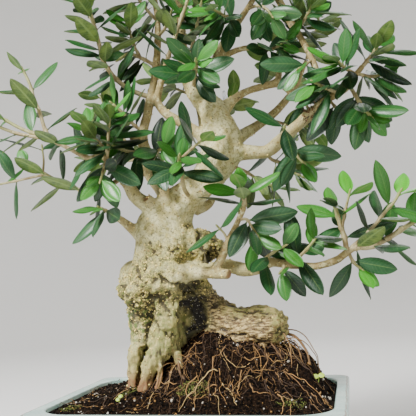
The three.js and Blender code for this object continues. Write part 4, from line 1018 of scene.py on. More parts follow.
def fibre_finish(settings):
    """Fine roots, tan to orange, paler where they are fresh."""
    finish = Finish("fine_roots", Roughness=0.7)
    kind = finish.mark("kind")
    cloud = finish.noise(2.5, 3)
    colour = finish.mix(finish.rise(kind, 0.35, 0.95), settings.root_dark, settings.fibre)
    colour = finish.mix(finish.rise(kind, 0.92, 0.98), colour, settings.root_pale)
    colour = finish.mix(finish.rise(cloud, 0.4, 0.75, 0, 0.5), colour, settings.root_dark)
    return finish.give(Base_Color=colour, Normal=finish.bump(finish.noise(0.5, 3), 0.15))


def plain_green_finish(name, dark, light, size, roughness):
    """A small green thing's finish, mottled between two greens."""
    finish = Finish(name, Roughness=roughness)
    colour = finish.mix(finish.rise(finish.mark("kind"), 0, 1), dark, light)
    colour = finish.mix(finish.rise(finish.noise(size, 3), 0.35, 0.7, 0, 0.6), colour, light)
    return finish.give(Base_Color=colour, Normal=finish.bump(finish.noise(size / 3, 3), 0.15))


def net_finish():
    """Black moulded plastic."""
    finish = Finish("net_plastic", Roughness=0.5)
    colour = finish.mix(finish.noise(2, 3), paint(28, 28, 29), paint(52, 52, 52))
    return finish.give(Base_Color=colour, Normal=finish.bump(finish.noise(0.6, 2), 0.1))


def floor_finish(settings):
    """A plain pale matt surface."""
    return Finish("floor", Roughness=0.9, Specular_IOR_Level=0.1).give(Base_Color=settings.floor)


# ---------------------------------------------------------------- the tree

VOXEL, SMOOTHING = 1.06, 3
THICK, THICK_SIDES, LIMB_SIDES = 6, 28, 12
FLUTE_DEPTH, FLUTE_OLD = 0.07, 16  # a share of the wood's radius, full from the old radius on
CUT_ENDS = ("knob", "low_branch", "stub_low", "stub_high")
CUT_DOME, GROWN_DOME = 0.15, 0.6  # how far an end bulges, as a share of its radius
POINTS_AT_ONCE = 8000
ICO = {}  # plain balls, by how finely they are split

# Places on the wood, each the middle and the reach of an oval.
SHOULDER = ((-17, -19, 126), (10, 8, 15))
NODULES = (((-50, -12, 137), (22, 24, 20)), ((-28, -22, 134), (32, 24, 19)))
COLLAR = ((8, -27, 156), (27, 12, 9))
# The hollow and the undercut are carved and painted near-black as shade, and the bridge is painted
# darker as shade.
HOLLOW = ((-3, -8, 126), (10, 22, 28))
UNDERCUT = ((5, -18, 146), (15, 14, 6))
BRIDGE = ((9, -2, 136), (14, 20, 16))
LICHEN = ((40, 4, 131), (30, 26, 10))
LOG_END = ((62, 0, 118), (12, 22, 16))
GREEN_BULGE = ((-44, -14, 127), (24, 26, 22))
# The gap between the bole and the wedge is carved and painted with shade.
WEDGE_GAP = ((14, -8, 168), (8, 12, 9))
GRITTY = ((8, -8, 110), (24, 20, 12))
# The creases are carved, and the finish paints shade along them.
CREASES = (  # how deep, how wide, and where it runs
    (3.0, 2.3, ((5, -15, 191), (6, -15, 181), (9, -15, 172), (13, -15, 164))),
    (2.2, 1.7, ((-20, -29, 156), (-15, -29, 151), (-8, -29, 148), (0, -29, 146))),
    (1.8, 1.6, ((-31, -31, 142), (-21, -31, 143), (-11, -31, 143), (-2, -31, 139))),
    (1.8, 2.2, ((-42, -22, 164), (-37, -22, 157), (-29, -22, 151))),
    (4.2, 2.8, ((-29, -26, 130), (-34, -26, 117), (-37, -26, 99), (-40, -26, 77))),
    (2.5, 2.2, ((-9, -18, 140), (-8, -18, 124), (-10, -18, 105))),
    (1.1, 1.4, ((-27, -27, 125), (-19, -27, 117), (-14, -27, 107))),
)
FOLD = ((-29, -30, 149), (-21, -30, 147), (-14, -30, 146), (-4, -30, 142))
BEAD_COUNT, BEAD_SEAT_SEED, BEAD_SEED = 2300, 6007, 6011
SPUR, SPUR_SEED = ((93.4, -17.2, 266.3), 4.0, 120), 7411  # its middle, radius and count of scales


def fluting(ring, angles):
    """Old thick wood is fluted; thin wood is round."""
    age = min(ring.radius / FLUTE_OLD, 1) ** 2
    ripple = np.sin(3 * angles + ring.at[2] / 13) + 0.7 * np.sin(5 * angles - ring.at[2] / 7)
    return 1 + FLUTE_DEPTH * age * ripple


def raw_wood():
    """Every limb and burl as closed forms, before they grow together."""
    clay = Clay()
    for name, route in WOOD.items():
        rows = smooth_rows(route, 5)
        sides = THICK_SIDES if max(point[3] for point in route[1:]) > THICK else LIMB_SIDES
        points = tube(rows, sides, fluting, CUT_DOME if name in CUT_ENDS else GROWN_DOME)
        clay.add(points, tube_faces(len(rows), sides))
    for x, y, z, radius in BURLS:
        add_ball(clay, (x, y, z), (radius, radius, radius), 3)
    add_ball(clay, *SHOULDER, 3)
    return clay


def add_ball(clay, middle, reach, level=1, turn=(0, 0, 0), finish=0, lumps=None, **marks):
    """A ball, or an oval or lumpy one, at a point."""
    if level not in ICO:
        mesh = bpy.data.meshes.new("ball")
        ball = bmesh.new()
        bmesh.ops.create_icosphere(ball, subdivisions=level, radius=1)
        ball.to_mesh(mesh)
        ball.free()
        corners = np.array([vertex.co[:] for vertex in mesh.vertices])
        ICO[level] = (corners, [tuple(face.vertices) for face in mesh.polygons])
        bpy.data.meshes.remove(mesh)
    corners, faces = ICO[level]
    spin = np.array(Euler(turn).to_matrix())
    points = corners * np.array(reach) * (1 if lumps is None else lumps[:, None])
    clay.add(points @ spin.T + np.array(middle), faces, finish, **marks)


def grown_together(piece, voxel, smoothing):
    """Joins a piece's closed forms into one smooth surface, and returns its mesh."""
    remesh = piece.modifiers.new("remesh", "REMESH")
    remesh.mode, remesh.voxel_size = "VOXEL", voxel * MM
    smooth = piece.modifiers.new("smooth", "SMOOTH")
    smooth.factor, smooth.iterations = 0.5, smoothing
    return applied(piece)


def applied(piece):
    """Applies a piece's modifiers, and returns its new mesh."""
    bpy.context.view_layer.update()
    shaped = piece.evaluated_get(bpy.context.evaluated_depsgraph_get())
    mesh = bpy.data.meshes.new_from_object(shaped)
    old = piece.data
    piece.modifiers.clear()
    piece.data = mesh
    mesh.name = piece.name
    bpy.data.meshes.remove(old)
    return mesh


def mesh_points(mesh):
    points = np.empty(3 * len(mesh.vertices), np.float32)
    mesh.vertices.foreach_get("co", points)
    normals = np.empty(3 * len(mesh.vertices), np.float32)
    mesh.vertex_normals.foreach_get("vector", normals)
    return points.reshape(-1, 3) / MM, normals.reshape(-1, 3).astype(float)


def girth(points):
    """The radius of the wood nearest to each point."""
    stretches = Stretches(wood_stretches())
    radii = np.empty(len(points))
    for start in range(0, len(points), POINTS_AT_ONCE):
        part = slice(start, start + POINTS_AT_ONCE)
        nearest = stretches.outside(points[part]).argmin(1)
        radii[part] = (stretches.thick + stretches.thin)[nearest] / 2
    return radii


def along_route(points, route, width):
    """1 on a line along the front of the bark, falling to 0 at "width" beside it."""
    flat = np.array((1, 0.15, 1))
    away = np.full(len(points), np.inf)
    for place in smooth_rows(route, 8):
        away = np.minimum(away, np.linalg.norm((points - place) * flat, axis=1))
    return 1 - step(away, 0.3 * width, width)


def bead_seats(share):
    """The points of the skin that carry a bead, most of them where the bark is rough."""
    draw = draws_from(BEAD_SEAT_SEED)
    seats = []
    while len(seats) < BEAD_COUNT:
        seat = int(draw() * len(share))
        if draw() < share[seat]:
            seats.append(seat)
    return seats


def shape_bark(mesh):
    """Raises the bark's wrinkles, nodules and fibres, and marks them for its finish, with painted shade
    in its dents and its hollow. Returns the points, their normals and those that carry a bead."""
    skin, normals = mesh_points(mesh)
    x, y, z = skin.T
    # where the thick wood, the old root, the legs, the creases and the rough bark are
    radius = girth(skin)
    points = skin + np.column_stack([noise_at(skin, 11, 3, shift=shift) for shift in (0, 31, 67)]) * 7
    thick = step(radius, 3, 9)
    log = step(points[:, 0], 0, 14) * step(z, 150, 138) * step(z, 84, 92)
    lean = z - 1.1 * (x + 40) + 5 * noise_at(skin, 12, 2, shift=21.0)
    legs = step(lean, 112, 100) * step(x, 2, -10) * step(y, 12, 2)
    wavy = skin + 0.3 * (points - skin)
    creases = [(depth, along_route(wavy, route, width)) for depth, width, route in CREASES]
    crease = np.clip(sum(share for _, share in creases), 0, 1)
    fold = along_route(wavy, FOLD, 3.4)
    nodules = np.maximum.reduce([near(points, *place) for place in NODULES]) * (1 - legs)
    slant = points[:, 2] - 0.8 * (points[:, 0] + 46)
    rough = thick * step(slant, 174, 154) * step(z, 200, 186) * (1 - 0.8 * log)
    rough = rough * (0.5 + 0.5 * step(noise_at(skin, 11, 2, shift=3.0), -0.3, 0.15))
    rough = np.maximum(rough * (1 - near(points, *COLLAR)), nodules)
    pits = rough * (1 - legs) * step(noise_at(skin, 3.2, 3, shift=13.0), 0.2, 0.38)
    # The hollow under the bole, carved and painted near-black as shade; the undercut is painted with
    # it.
    hollow = near(points, *HOLLOW) * step(x, -14, -8)
    undercut = near(points, *UNDERCUT)
    coarse = np.maximum(rough * (1 - 0.8 * legs), 0.25 * legs)
    # how far the skin moves, out and in
    lumps = noise_at(skin, 13, 2) * 1.2 * (0.35 + 0.65 * thick)
    bumps = noise_at(skin, 4.2, 3, shift=5.0) * (0.45 + 1.05 * coarse) * thick
    wrinkles = noise_at(skin, 3.0, 3, (2.0, 2.0, 0.8)) * 0.7 * rough
    knobs = (0.55 - np.clip(cells_at(skin, 4.4), 0, 0.55)) * 4.2 * nodules
    fibres = noise_at(skin, 3.6, 4, (3.0, 1.0, 0.9)) * 2.3 * log
    ridges = noise_at(skin, 3.6, 3, (1, 1, 3.0)) * 1.9 * legs
    carve = -5.0 * undercut - 5.0 * hollow - 4.0 * near(points, *WEDGE_GAP) - pits + 1.6 * fold
    carve = carve - sum(depth * share for depth, share in creases)
    raised = lumps + bumps + wrinkles + knobs + fibres + ridges
    moved = skin + normals * (raised + carve)[:, None]
    mesh.vertices.foreach_set("co", (moved * MM).astype(np.float32).ravel())
    # what the finish reads; deep is the painted shade of the fold mark: darker where the skin is pushed
    # in, between the knobs, along the creases, in the wedge's gap and the pits, not on the raised fold
    deep = -0.8 * (bumps + wrinkles + fibres + ridges) + (0.75 - knobs * 0.7) * nodules
    deep = deep * (1 - fold) + crease + 0.9 * near(points, *WEDGE_GAP) + 0.9 * pits
    lichen = np.maximum(near(points, *LICHEN), near(points, *LOG_END))
    cut = np.maximum.reduce([1 - step(np.linalg.norm(skin - np.array(WOOD[name][-1][:3]), axis=1), 2, 4)
                             for name in CUT_ENDS])
    damp = np.maximum.reduce([0.3 * lichen, near(points, *GREEN_BULGE),
                              0.7 * nodules, 0.35 * rough, 0.5 * legs * step(z, 92, 104)])
    beaded = np.maximum(0.55 * rough, 0.8 * nodules) * (1 - hollow) * (1 - 0.8 * legs)
    seats = bead_seats(beaded + 0.06 * step(radius, 1.5, 4) * (1 - log))
    # Painted shadow: the skin under each bead is darkened.
    deep[seats] = np.maximum(deep[seats], 0.6)
    marks = {
        "rough": coarse, "fold": np.clip(deep, 0, 1), "log": log,
        "hollow": np.maximum(hollow, undercut), "green": damp,
        "red": np.maximum(step(z, 92, 80) * legs, cut), "lichen": lichen, "leg": legs,
        "shade": 0.8 * near(points, *BRIDGE) * (1 - hollow), "gritty": near(points, *GRITTY),
        "thin": 1 - step(radius, 2.5, 7),
    }
    for mark, values in marks.items():
        layer = mesh.attributes.new(mark, "FLOAT", "POINT")
        layer.data.foreach_set("value", np.asarray(values, np.float32))
    mesh.update()
    return moved, normals, seats


def make_beads(settings, skin, normals, seats):
    """Corky beads, thickest where the bark is rough."""
    clay = Clay("kind")
    draw = draws_from(BEAD_SEED)
    for seat in seats:
        size = 0.36 + 0.46 * draw() ** 2
        turn = Vector(normals[seat]).to_track_quat("Z", "Y").to_euler()
        middle = skin[seat] + 0.2 * size * normals[seat]
        add_ball(clay, middle, (size, size, 0.8 * size), 2 if size > 0.55 else 1, turn, kind=draw())
    dress(clay.piece("bark_beads", [bead_finish(settings)]), "bark")


def make_spur(settings):
    """Dry scales and fibres round the old spur on the right limb."""
    clay = Clay("kind")
    draw = draws_from(SPUR_SEED)
    middle, radius, count = SPUR
    for _ in range(count):
        out = unit(np.array([draw() - 0.5 for _ in range(3)]))
        start = np.array(middle) + np.array((8, 3, 8)) * (draw() - 0.5) + 0.7 * radius * out
        bend = np.array([draw() - 0.5 for _ in range(3)]) * 2.5
        reach = 1.5 + 4 * draw() ** 2
        route = np.array([start, start + 0.6 * reach * out + 0.4 * bend, start + reach * out + bend])
        add_strand(clay, route, 0.35 + 0.3 * draw(), 0.12, draw())
    dress(clay.piece("spur_bristles", [bristle_finish(settings)]), "bark")


def make_trunk(settings):
    """The trunk, its roots and limbs, grown together as one piece of wood."""
    trunk = raw_wood().piece("trunk_wood", [])
    mesh = grown_together(trunk, VOXEL, SMOOTHING)
    skin, normals, seats = shape_bark(mesh)
    mesh.materials.append(bark_finish(settings))
    mesh.polygons.foreach_set("use_smooth", [True] * len(mesh.polygons))
    make_beads(settings, skin, normals, seats)
    make_spur(settings)
    dress(trunk, "bark", "trunk")


# ---------------------------------------------------------------- twigs

LEAF_STATIONS = (0, 0.035, 0.07, 0.12, 0.19, 0.27, 0.36, 0.46, 0.56, 0.66, 0.76, 0.85, 0.93, 0.975, 1)
LEAF_COLUMNS = (-1, -0.62, -0.2, 0, 0.2, 0.62, 1)
PETIOLE = 0.05
BLADE_DEPTH, BLADE_EDGE = 0.5, 0.12  # how much thicker its middle is than its edge, and its edge
GROOVE, GROOVE_WIDTH = 0.22, 0.45
UNDER_RIB, UNDER_RIB_WIDTH = 0.25, 0.5
EDGE_ROLL, RIPPLE, RIPPLES = 0.35, 0.25, 9
NARROW_HALF, NARROW_EXTRA = 0.8, 0.45  # the stalk and the tip, which are thicker
FACE_INSET = 0.35  # how far the fine leaf lies below the plain one's face
SHOOT_SIDES, SWELLING_REACH = 8, 1.3
YOUNG = ("young_shoot", "far_right", "rising_end")
TWIG_SEED = 9173


def blade_share(part):
    """A leaf's half width, as a share of its widest, at a fraction of its length."""
    blade = np.clip((part - PETIOLE) / (1 - PETIOLE), 0, 1)
    return np.maximum((4 * blade * (1 - blade)) ** 0.78 * (0.96 + 0.08 * blade), 0.09 * (part < 0.5))


def add_leaf(clay, leaf, draw, young):
    """A fine leaf on the line of its plain one: a stalk, a grooved midrib and rolled edges."""
    curl = 0.05 + 0.3 * draw()
    swerve = 0.05 * (draw() - 0.5) * leaf.length
    twirl = 0.5 * (draw() - 0.5)
    more_sag = 0.08 * (draw() - 0.4) * leaf.length
    tint, wave = draw(), WHOLE_TURN * draw()
    parts, columns = np.meshgrid(LEAF_STATIONS, LEAF_COLUMNS, indexing="ij")
    half = leaf.width / 2 * blade_share(parts)
    side = columns * half
    groove = GROOVE * np.exp(-(side / GROOVE_WIDTH) ** 2) * step(parts, 0, 0.15)
    roll = EDGE_ROLL * step(abs(columns), 0.75, 1.0) * half / leaf.width * 2
    ripple = RIPPLE * np.sin(RIPPLES * parts + wave) * columns * half / leaf.width * 2
    depth = (LEAF_SAG * leaf.length * parts ** 2 + more_sag * parts ** 3 + curl * half * columns ** 2
             + roll + ripple + FACE_INSET)
    turned = twirl * parts
    points = (leaf.root + leaf.reach * (parts * leaf.length)[..., None]
              + leaf.side * (side * np.cos(turned) + swerve * parts ** 2)[..., None]
              - leaf.face * (depth + side * np.sin(turned))[..., None])
    rows, count = parts.shape
    thickness = BLADE_DEPTH * (1 - abs(columns) ** 3) + BLADE_EDGE
    thickness = thickness * (0.4 + 0.6 * step(half, 0.4, 1.5))
    thickness = thickness + NARROW_EXTRA * (half < NARROW_HALF) * (abs(columns) < 0.7)
    top = points - leaf.face * groove[..., None]
    rib = UNDER_RIB * np.exp(-(side / UNDER_RIB_WIDTH) ** 2)
    under = points - leaf.face * (thickness + rib)[..., None]
    grid = np.arange(rows * count).reshape(rows, count)
    quads = np.stack([grid[:-1, :-1], grid[:-1, 1:], grid[1:, 1:], grid[1:, :-1]], -1).reshape(-1, 4)
    all_points = np.concatenate([top.reshape(-1, 3), under.reshape(-1, 3)])
    marks = {"along": np.tile(parts.ravel(), 2), "across": np.tile(columns.ravel(), 2),
             "tint": tint, "young": young}
    offset = rows * count
    upper = [tuple(quad[::-1]) for quad in quads]
    lower = [tuple(quad + offset) for quad in quads]
    edge = list(grid[:, 0]) + list(grid[-1, 1:]) + list(grid[:-1, -1][::-1]) + list(grid[0, 1:-1][::-1])
    rim = [(a, b, b + offset, a + offset) for a, b in zip(edge, edge[1:] + edge[:1])]
    start = clay.count
    clay.add(all_points, upper, 0, **marks)
    for faces, finish in ((lower, 1), (rim, 0)):
        clay.faces += [tuple(int(corner) + start for corner in face) for face in faces]
        clay.finishes += [finish] * len(faces)


def add_shoot(clay, stem, rings):
    """A stem with a swelling at each pair of leaves and a bud at its tip."""
    rows = smooth_rows([(*ring.at, ring.radius) for ring in rings], 5)
    runs = np.concatenate([[0], np.cumsum(np.linalg.norm(np.diff(rows[:, :3], axis=0), axis=1))])
    parts = runs / runs[-1]
    last = max(stem.pairs - 1, 1)
    joints = [lerp(stem.start, LAST_PAIR, k / last if stem.pairs > 1 else 1)
              for k in range(stem.pairs)]
    swell = sum(np.exp(-((parts - joint) * runs[-1] / SWELLING_REACH) ** 2) for joint in joints)
    rows[:, 3] *= 0.86 + 0.26 * swell
    along = np.append(np.repeat(parts, SHOOT_SIDES), (0, 1))
    clay.add(tube(rows, SHOOT_SIDES), tube_faces(len(rows), SHOOT_SIDES), 2, along=along)
    tip = rings[-1]
    end = tip.at + tip.along * 1.6
    turn = Vector(tip.along).to_track_quat("Z", "Y").to_euler()
    add_ball(clay, end, (0.8, 0.8, 2.1), 2, turn, 2, along=1)


def make_twigs(settings):
    """Every leafy twig, each in place of its plain one."""
    finishes = [leaf_top_finish(settings), leaf_under_finish(settings), shoot_finish(settings)]
    twigs, leaves = grow()
    draw = draws_from(TWIG_SEED)
    for name, stems in twigs.items():
        clay = Clay("along", "across", "tint", "young")
        for stem in stems:
            add_shoot(clay, stem, stem_rings(stem))
        for leaf in [one for one in leaves if one.twig == name]:
            fresh = 0.75 * leaf.age ** 2 if name in YOUNG else 0.3 * leaf.age ** 3
            add_leaf(clay, leaf, draw, fresh * (0.6 + 0.8 * draw()))
        slot = "young_leaf" if name in YOUNG else "leaf"
        dress(clay.piece(f"{name}_twig", finishes), slot, f"twig_{name}")


# ---------------------------------------------------------------- pot

# Each row is an inset from the rim's edge, a height and how bare of glaze the pot is there.
OUTSIDE = (
    (60, POT_FOOT, 1), (14, POT_FOOT, 1), (12.4, 7.2, 1), (11.4, 7.8, 0.9), (10.4, 9.2, 0.6),
    (9.4, 12, 0), (6.8, 34, 0), (4.3, 56, 0), (3.9, 59.3, 0), (3.0, 60.2, 0),
)
INSIDE = (
    (10.2, 60, 0), (13, 40, 0), (15.4, 19.5, 0.5), (16.6, 16, 1), (20, POT_FOOT + POT_FLOOR, 1),
)
# How round the lip's underside and the rim's outer and inner edges are, and where each has its
# middle. LIP_FACE is the height of a ring on the lip's upright face.
LIP_ROUND, LIP_MIDDLE, LIP_FACE = 2.0, 62.2, 65
OUTER_ROUND, OUTER_MIDDLE = 1.8, 68.2
INNER_ROUND, INNER_MIDDLE, INNER_INSET = 1.3, 68.7, 7.7
RIM_FLAT, RIM_INSETS = 7.2, (3, 4.5, 6, 7.2)
RIM_FROM = 66  # the height from which the finish draws the rim's line
EDGE_STEPS, POT_ARC = 5, 8
DRAIN_AT, DRAIN_RADIUS = 45, 8
DRILL_LEVELS, DRILL_SIDES = (0, 10, 20, 30), 32
FOOT_LENGTH, FOOT_DEPTH = 34, 24
FOOT_X, FOOT_Y = 73, 54
FOOT_LEVELS = (  # how far out, height and corner
    (-3.2, 0, 4), (-2.2, 0.2, 5), (-1.6, 1, 6), (-0.6, 4.6, 6), (0.2, POT_FOOT, 6), (0.6, 8, 6),
)


def pot_levels():
    """The pot's rings from the middle of its underside out, up, over the rim and down inside."""
    turn = np.linspace(0, math.pi / 2, EDGE_STEPS)
    profile = [(inset, z, POT_CORNER, bare) for inset, z, bare in OUTSIDE]
    profile += [(LIP_ROUND * (1 - math.sin(a)), LIP_MIDDLE - LIP_ROUND * math.cos(a), POT_CORNER, 0)
                for a in turn[1:]]
    profile += [(0, LIP_FACE, POT_CORNER, 0)]
    profile += [(OUTER_ROUND * (1 - math.cos(a)), OUTER_MIDDLE + OUTER_ROUND * math.sin(a),
                 POT_CORNER, 0) for a in turn]
    profile += [(inset, POT_HEIGHT,
                 lerp(POT_CORNER, OPENING_CORNER, (inset - OUTER_ROUND) / RIM_FLAT), 0)
                for inset in RIM_INSETS]
    profile += [(INNER_INSET + INNER_ROUND * math.sin(a), INNER_MIDDLE + INNER_ROUND * math.cos(a),
                 OPENING_CORNER, 0) for a in turn]
    profile += [(inset, z, OPENING_CORNER, bare) for inset, z, bare in INSIDE]
    levels, insets, bares = [], [], []
    for inset, z, corner, bare in profile:
        flat = outline(POT_LENGTH / 2 - inset, POT_DEPTH / 2 - inset, corner, POT_ARC, 3)
        levels.append(np.column_stack([flat, np.full(len(flat), z)]))
        insets += [inset if z > RIM_FROM else RIM] * len(flat)
        bares += [bare] * len(flat)
    return levels, insets, bares


def make_pot(settings):
    """The glazed pot on its four feet, with two drain holes."""
    clay = Clay("inset", "bare")
    levels, insets, bares = pot_levels()
    points, faces = level_stack(levels, [(0, 0, POT_FOOT), (0, 0, POT_FOOT + POT_FLOOR)])
    clay.add(points, faces, inset=insets + [RIM, RIM], bare=bares + [1, 1])
    pot = clay.piece("glazed_pot", [glaze_finish(settings)])
    drill = Clay()
    for x in (-DRAIN_AT, DRAIN_AT):
        rows = [(x, 0, z, DRAIN_RADIUS) for z in DRILL_LEVELS]
        drill.add(tube(rows, DRILL_SIDES, None, 0.01), tube_faces(len(rows), DRILL_SIDES))
    drills = drill.piece("drills", [])
    cut = pot.modifiers.new("holes", "BOOLEAN")
    cut.operation, cut.solver, cut.object = "DIFFERENCE", "EXACT", drills
    applied(pot)
    bpy.data.objects.remove(drills)
    dress(pot, "glaze", "pot")
    feet = Clay("inset", "bare")
    for x, y in ((FOOT_X, FOOT_Y), (-FOOT_X, FOOT_Y), (-FOOT_X, -FOOT_Y), (FOOT_X, -FOOT_Y)):
        levels = []
        for out, z, corner in FOOT_LEVELS:
            flat = outline(FOOT_LENGTH / 2 + out, FOOT_DEPTH / 2 + out, corner, 5, 2) + np.array((x, y))
            levels.append(np.column_stack([flat, np.full(len(flat), z)]))
        points, faces = level_stack(levels, [(x, y, FOOT_LEVELS[0][1]), (x, y, FOOT_LEVELS[-1][1])])
        feet.add(points, faces, inset=9, bare=1 - step(points[:, 2], 0.2, 3))
    dress(feet.piece("pot_feet", list(pot.data.materials)), "glaze")


def make_screens():
    """Finishes the nets over the drain holes, which keep their own shape."""
    plastic = net_finish()
    for side in ("left", "right"):
        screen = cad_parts[f"drain_screen_{side}"]
        screen.data.materials.clear()
        screen.data.materials.append(plastic)


# ---------------------------------------------------------------- soil

SOIL_INSET, BASE_INSET, BASE_LEVEL = 9.6, 16.3, 16.9
SOIL_ARC, SOIL_SIDE = 16, 76  # points to a corner and between corners
SOIL_RINGS, SOIL_INNERMOST = 100, 0.012


def soil_height(x, y):
    """The height of the soil: level at the wall, and mounded round the roots."""
    x, y = np.asarray(x, float), np.asarray(y, float)
    wall = np.minimum(POT_LENGTH / 2 - RIM - 1 - abs(x), POT_DEPTH / 2 - RIM - 1 - abs(y))
    rise = step(wall, 0, SOIL_EDGE)
    mound = sum(height * np.exp(-((x - cx) / wide) ** 2 - ((y - cy) / deep) ** 2)
                for cx, cy, height, wide, deep in MOUNDS)
    crumbs = 0.8 * np.sin(x / 7 + 1) * np.cos(y / 6) + 0.5 * np.sin((x + y) / 4)
    return SOIL_LEVEL + rise * (mound + crumbs)


def soil_surface(x, y):
    """The soil's height with its loose crumb."""
    flat = np.column_stack([np.ravel(x), np.ravel(y), np.zeros(np.size(x))])
    loose = noise_at(flat, 6, 3) * 1.4 + noise_at(flat, 2.6, 2, shift=7.0) * 1.2
    inset = RIM + 0.5
    wall = np.minimum(POT_LENGTH / 2 - inset - abs(flat[:, 0]), POT_DEPTH / 2 - inset - abs(flat[:, 1]))
    return soil_height(flat[:, 0], flat[:, 1]) + loose * step(wall, 0, 6)


def make_soil(settings):
    """The soil that fills the pot, as one crumbly surface down to its floor."""
    edge, base = (outline(POT_LENGTH / 2 - inset, POT_DEPTH / 2 - inset, OPENING_CORNER,
                          SOIL_ARC, SOIL_SIDE) for inset in (SOIL_INSET, BASE_INSET))
    levels = [np.column_stack([base, np.full(len(base), BASE_LEVEL)]),
              np.column_stack([edge, np.full(len(edge), SOIL_LEVEL - 1)])]
    for share in np.linspace(1, SOIL_INNERMOST, SOIL_RINGS):
        flat = edge * share
        levels.append(np.column_stack([flat, soil_surface(flat[:, 0], flat[:, 1])]))
    points, faces = level_stack(levels, [(0, 0, BASE_LEVEL), (0, 0, float(soil_height(0, 0)))])
    clay = Clay()
    clay.add(points, faces)
    dress(clay.piece("soil_bed", [earth_finish(settings)]), "soil", "soil")


GRIT_COUNT, GRIT_SEED = 6000, 4111
GRIT_WIDTH, GRIT_DEPTH = 188, 140
ROOT_COUNT, ROOT_SEED = 430, 2203
ROOT_INSET = 10.5
MOUND_TOP = (36, 8)
TUFTS = (  # from, to, heading, how many
    ((58, -4, 100), (68, 14, 112), 0.1, 30),
    ((20, -6, 98), (60, -3, 104), -1.5, 66),
    ((-16, -22, 92), (-6, -20, 98), -1.0, 20),
    ((-46, -22, 78), (-30, -32, 78), -1.9, 12),
    ((10, 28, 98), (60, 24, 104), 1.5, 56),
)
ROOT_LOOPS = (  # how thick, and where it runs
    (1.1, ((63, 7, 111), (71, 5, 108), (77, 2, 99), (80, -4, 88), (82, -8, 78))),
    (0.5, ((58, 12, 113), (70, 14, 112), (79, 13, 104), (84, 11, 94), (85, 9, 80))),
    (0.45, ((62, 2, 107), (73, 3, 107), (81, 6, 99), (84, 10, 90), (86, 14, 80))),
    (0.55, ((50, -2, 108), (57, -8, 101), (62, -15, 92), (64, -20, 84))),
    (0.6, ((34, -2, 104), (30, -14, 99), (26, -22, 92), (24, -28, 86), (20, -34, 77))),
    (0.5, ((10, -6, 105), (4, -16, 99), (0, -22, 91), (-6, -28, 79))),
    (0.45, ((44, -4, 105), (51, -13, 98), (50, -22, 92), (46, -30, 84))),
    (1.1, ((-11, -21, 96), (-8, -27, 89), (-3, -33, 82), (2, -39, 74))),
    (0.4, ((7, -43, 76), (5, -45, 71), (4, -45, 66))),
    (0.8, ((-22, -24, 96), (-21, -28, 88), (-23, -31, 80), (-25, -34, 70))),
    (0.4, ((66, 4, 104), (72, 2, 99), (74, 0, 91), (71, -2, 84))),
)
MOSS_PATCHES = (  # x, y, reach, how dense
    (4, -40, 12, 1.0), (-46, -28, 9, 0.7), (70, -52, 10, 0.5), (-82, -44, 9, 0.6), (30, 52, 16, 0.8),
)
MOSS_BLADES, MOSS_SEED = 420, 5519  # blades on a dense patch with a reach of 10


def make_grit(settings):
    """Loose crumbs, bark and pumice on the soil."""
    clay = Clay("kind")
    draw = draws_from(GRIT_SEED)
    spots = [(GRIT_WIDTH * (draw() - 0.5), GRIT_DEPTH * (draw() - 0.5)) for _ in range(GRIT_COUNT)]
    heights = soil_surface(*np.array(spots).T)
    for (x, y), z in zip(spots, heights):
        size = 0.35 + 0.9 * draw() ** 3
        reach = (size * (0.8 + 0.7 * draw()), size, size * (0.55 + 0.4 * draw()))
        turn = (WHOLE_TURN * draw(), WHOLE_TURN * draw(), WHOLE_TURN * draw())
        lumps = np.array([0.75 + 0.5 * draw() for _ in range(12)])
        add_ball(clay, (x, y, z + 0.25 * size), reach, 1, turn, 0, lumps, kind=draw())
    dress(clay.piece("soil_grit", [grit_finish(settings)], smooth=False), "soil")


def creeping(start, heading, length, draw, lift, wander):
    """A route of points that creeps over the soil from a start, rising in loose arches."""
    steps = 12
    at = np.array(start, float)
    flats = []
    for _ in range(steps + 1):
        flats.append(at.copy())
        heading += wander * (draw() - 0.5)
        at += np.array((math.cos(heading), math.sin(heading))) * length / steps
    flats = np.array(flats)
    edge = np.array((POT_LENGTH / 2 - ROOT_INSET, POT_DEPTH / 2 - ROOT_INSET))
    flats = np.clip(flats, -edge, edge)
    phase = WHOLE_TURN * draw()
    arch = lift * (0.5 + 0.5 * np.sin(np.linspace(0, WHOLE_TURN * (0.5 + draw()), steps + 1) + phase))
    heights = soil_surface(flats[:, 0], flats[:, 1]) + arch
    return np.column_stack([flats, heights])


def hanging(start, heading, length, lift, draw):
    """A route that arches from a place on the wood down to the soil."""
    shares = np.linspace(0, 1, 9)
    way = np.array((math.cos(heading), math.sin(heading)))
    flats = np.array(start[:2]) + np.outer(shares * length, way)
    sway = noise_at(np.column_stack([flats, np.full(9, 50 * draw())]), 6, 3)
    flats += 3.4 * (sway * shares)[:, None] * np.array((-way[1], way[0]))
    foot = float(soil_surface(*flats[-1])[0])
    heights = lerp(start[2], foot - 0.5, shares ** 1.4) + 4 * lift * shares * (1 - shares)
    return np.column_stack([flats, np.maximum(heights, soil_surface(flats[:, 0], flats[:, 1]) - 0.4)])


def add_strand(clay, route, thick, thin, kind, sides=4):
    """A thin round strand along a route."""
    rows = smooth_rows(np.column_stack([route, np.linspace(thick, thin, len(route))]), 2)
    clay.add(tube(rows, sides), tube_faces(len(rows), sides), kind=kind)


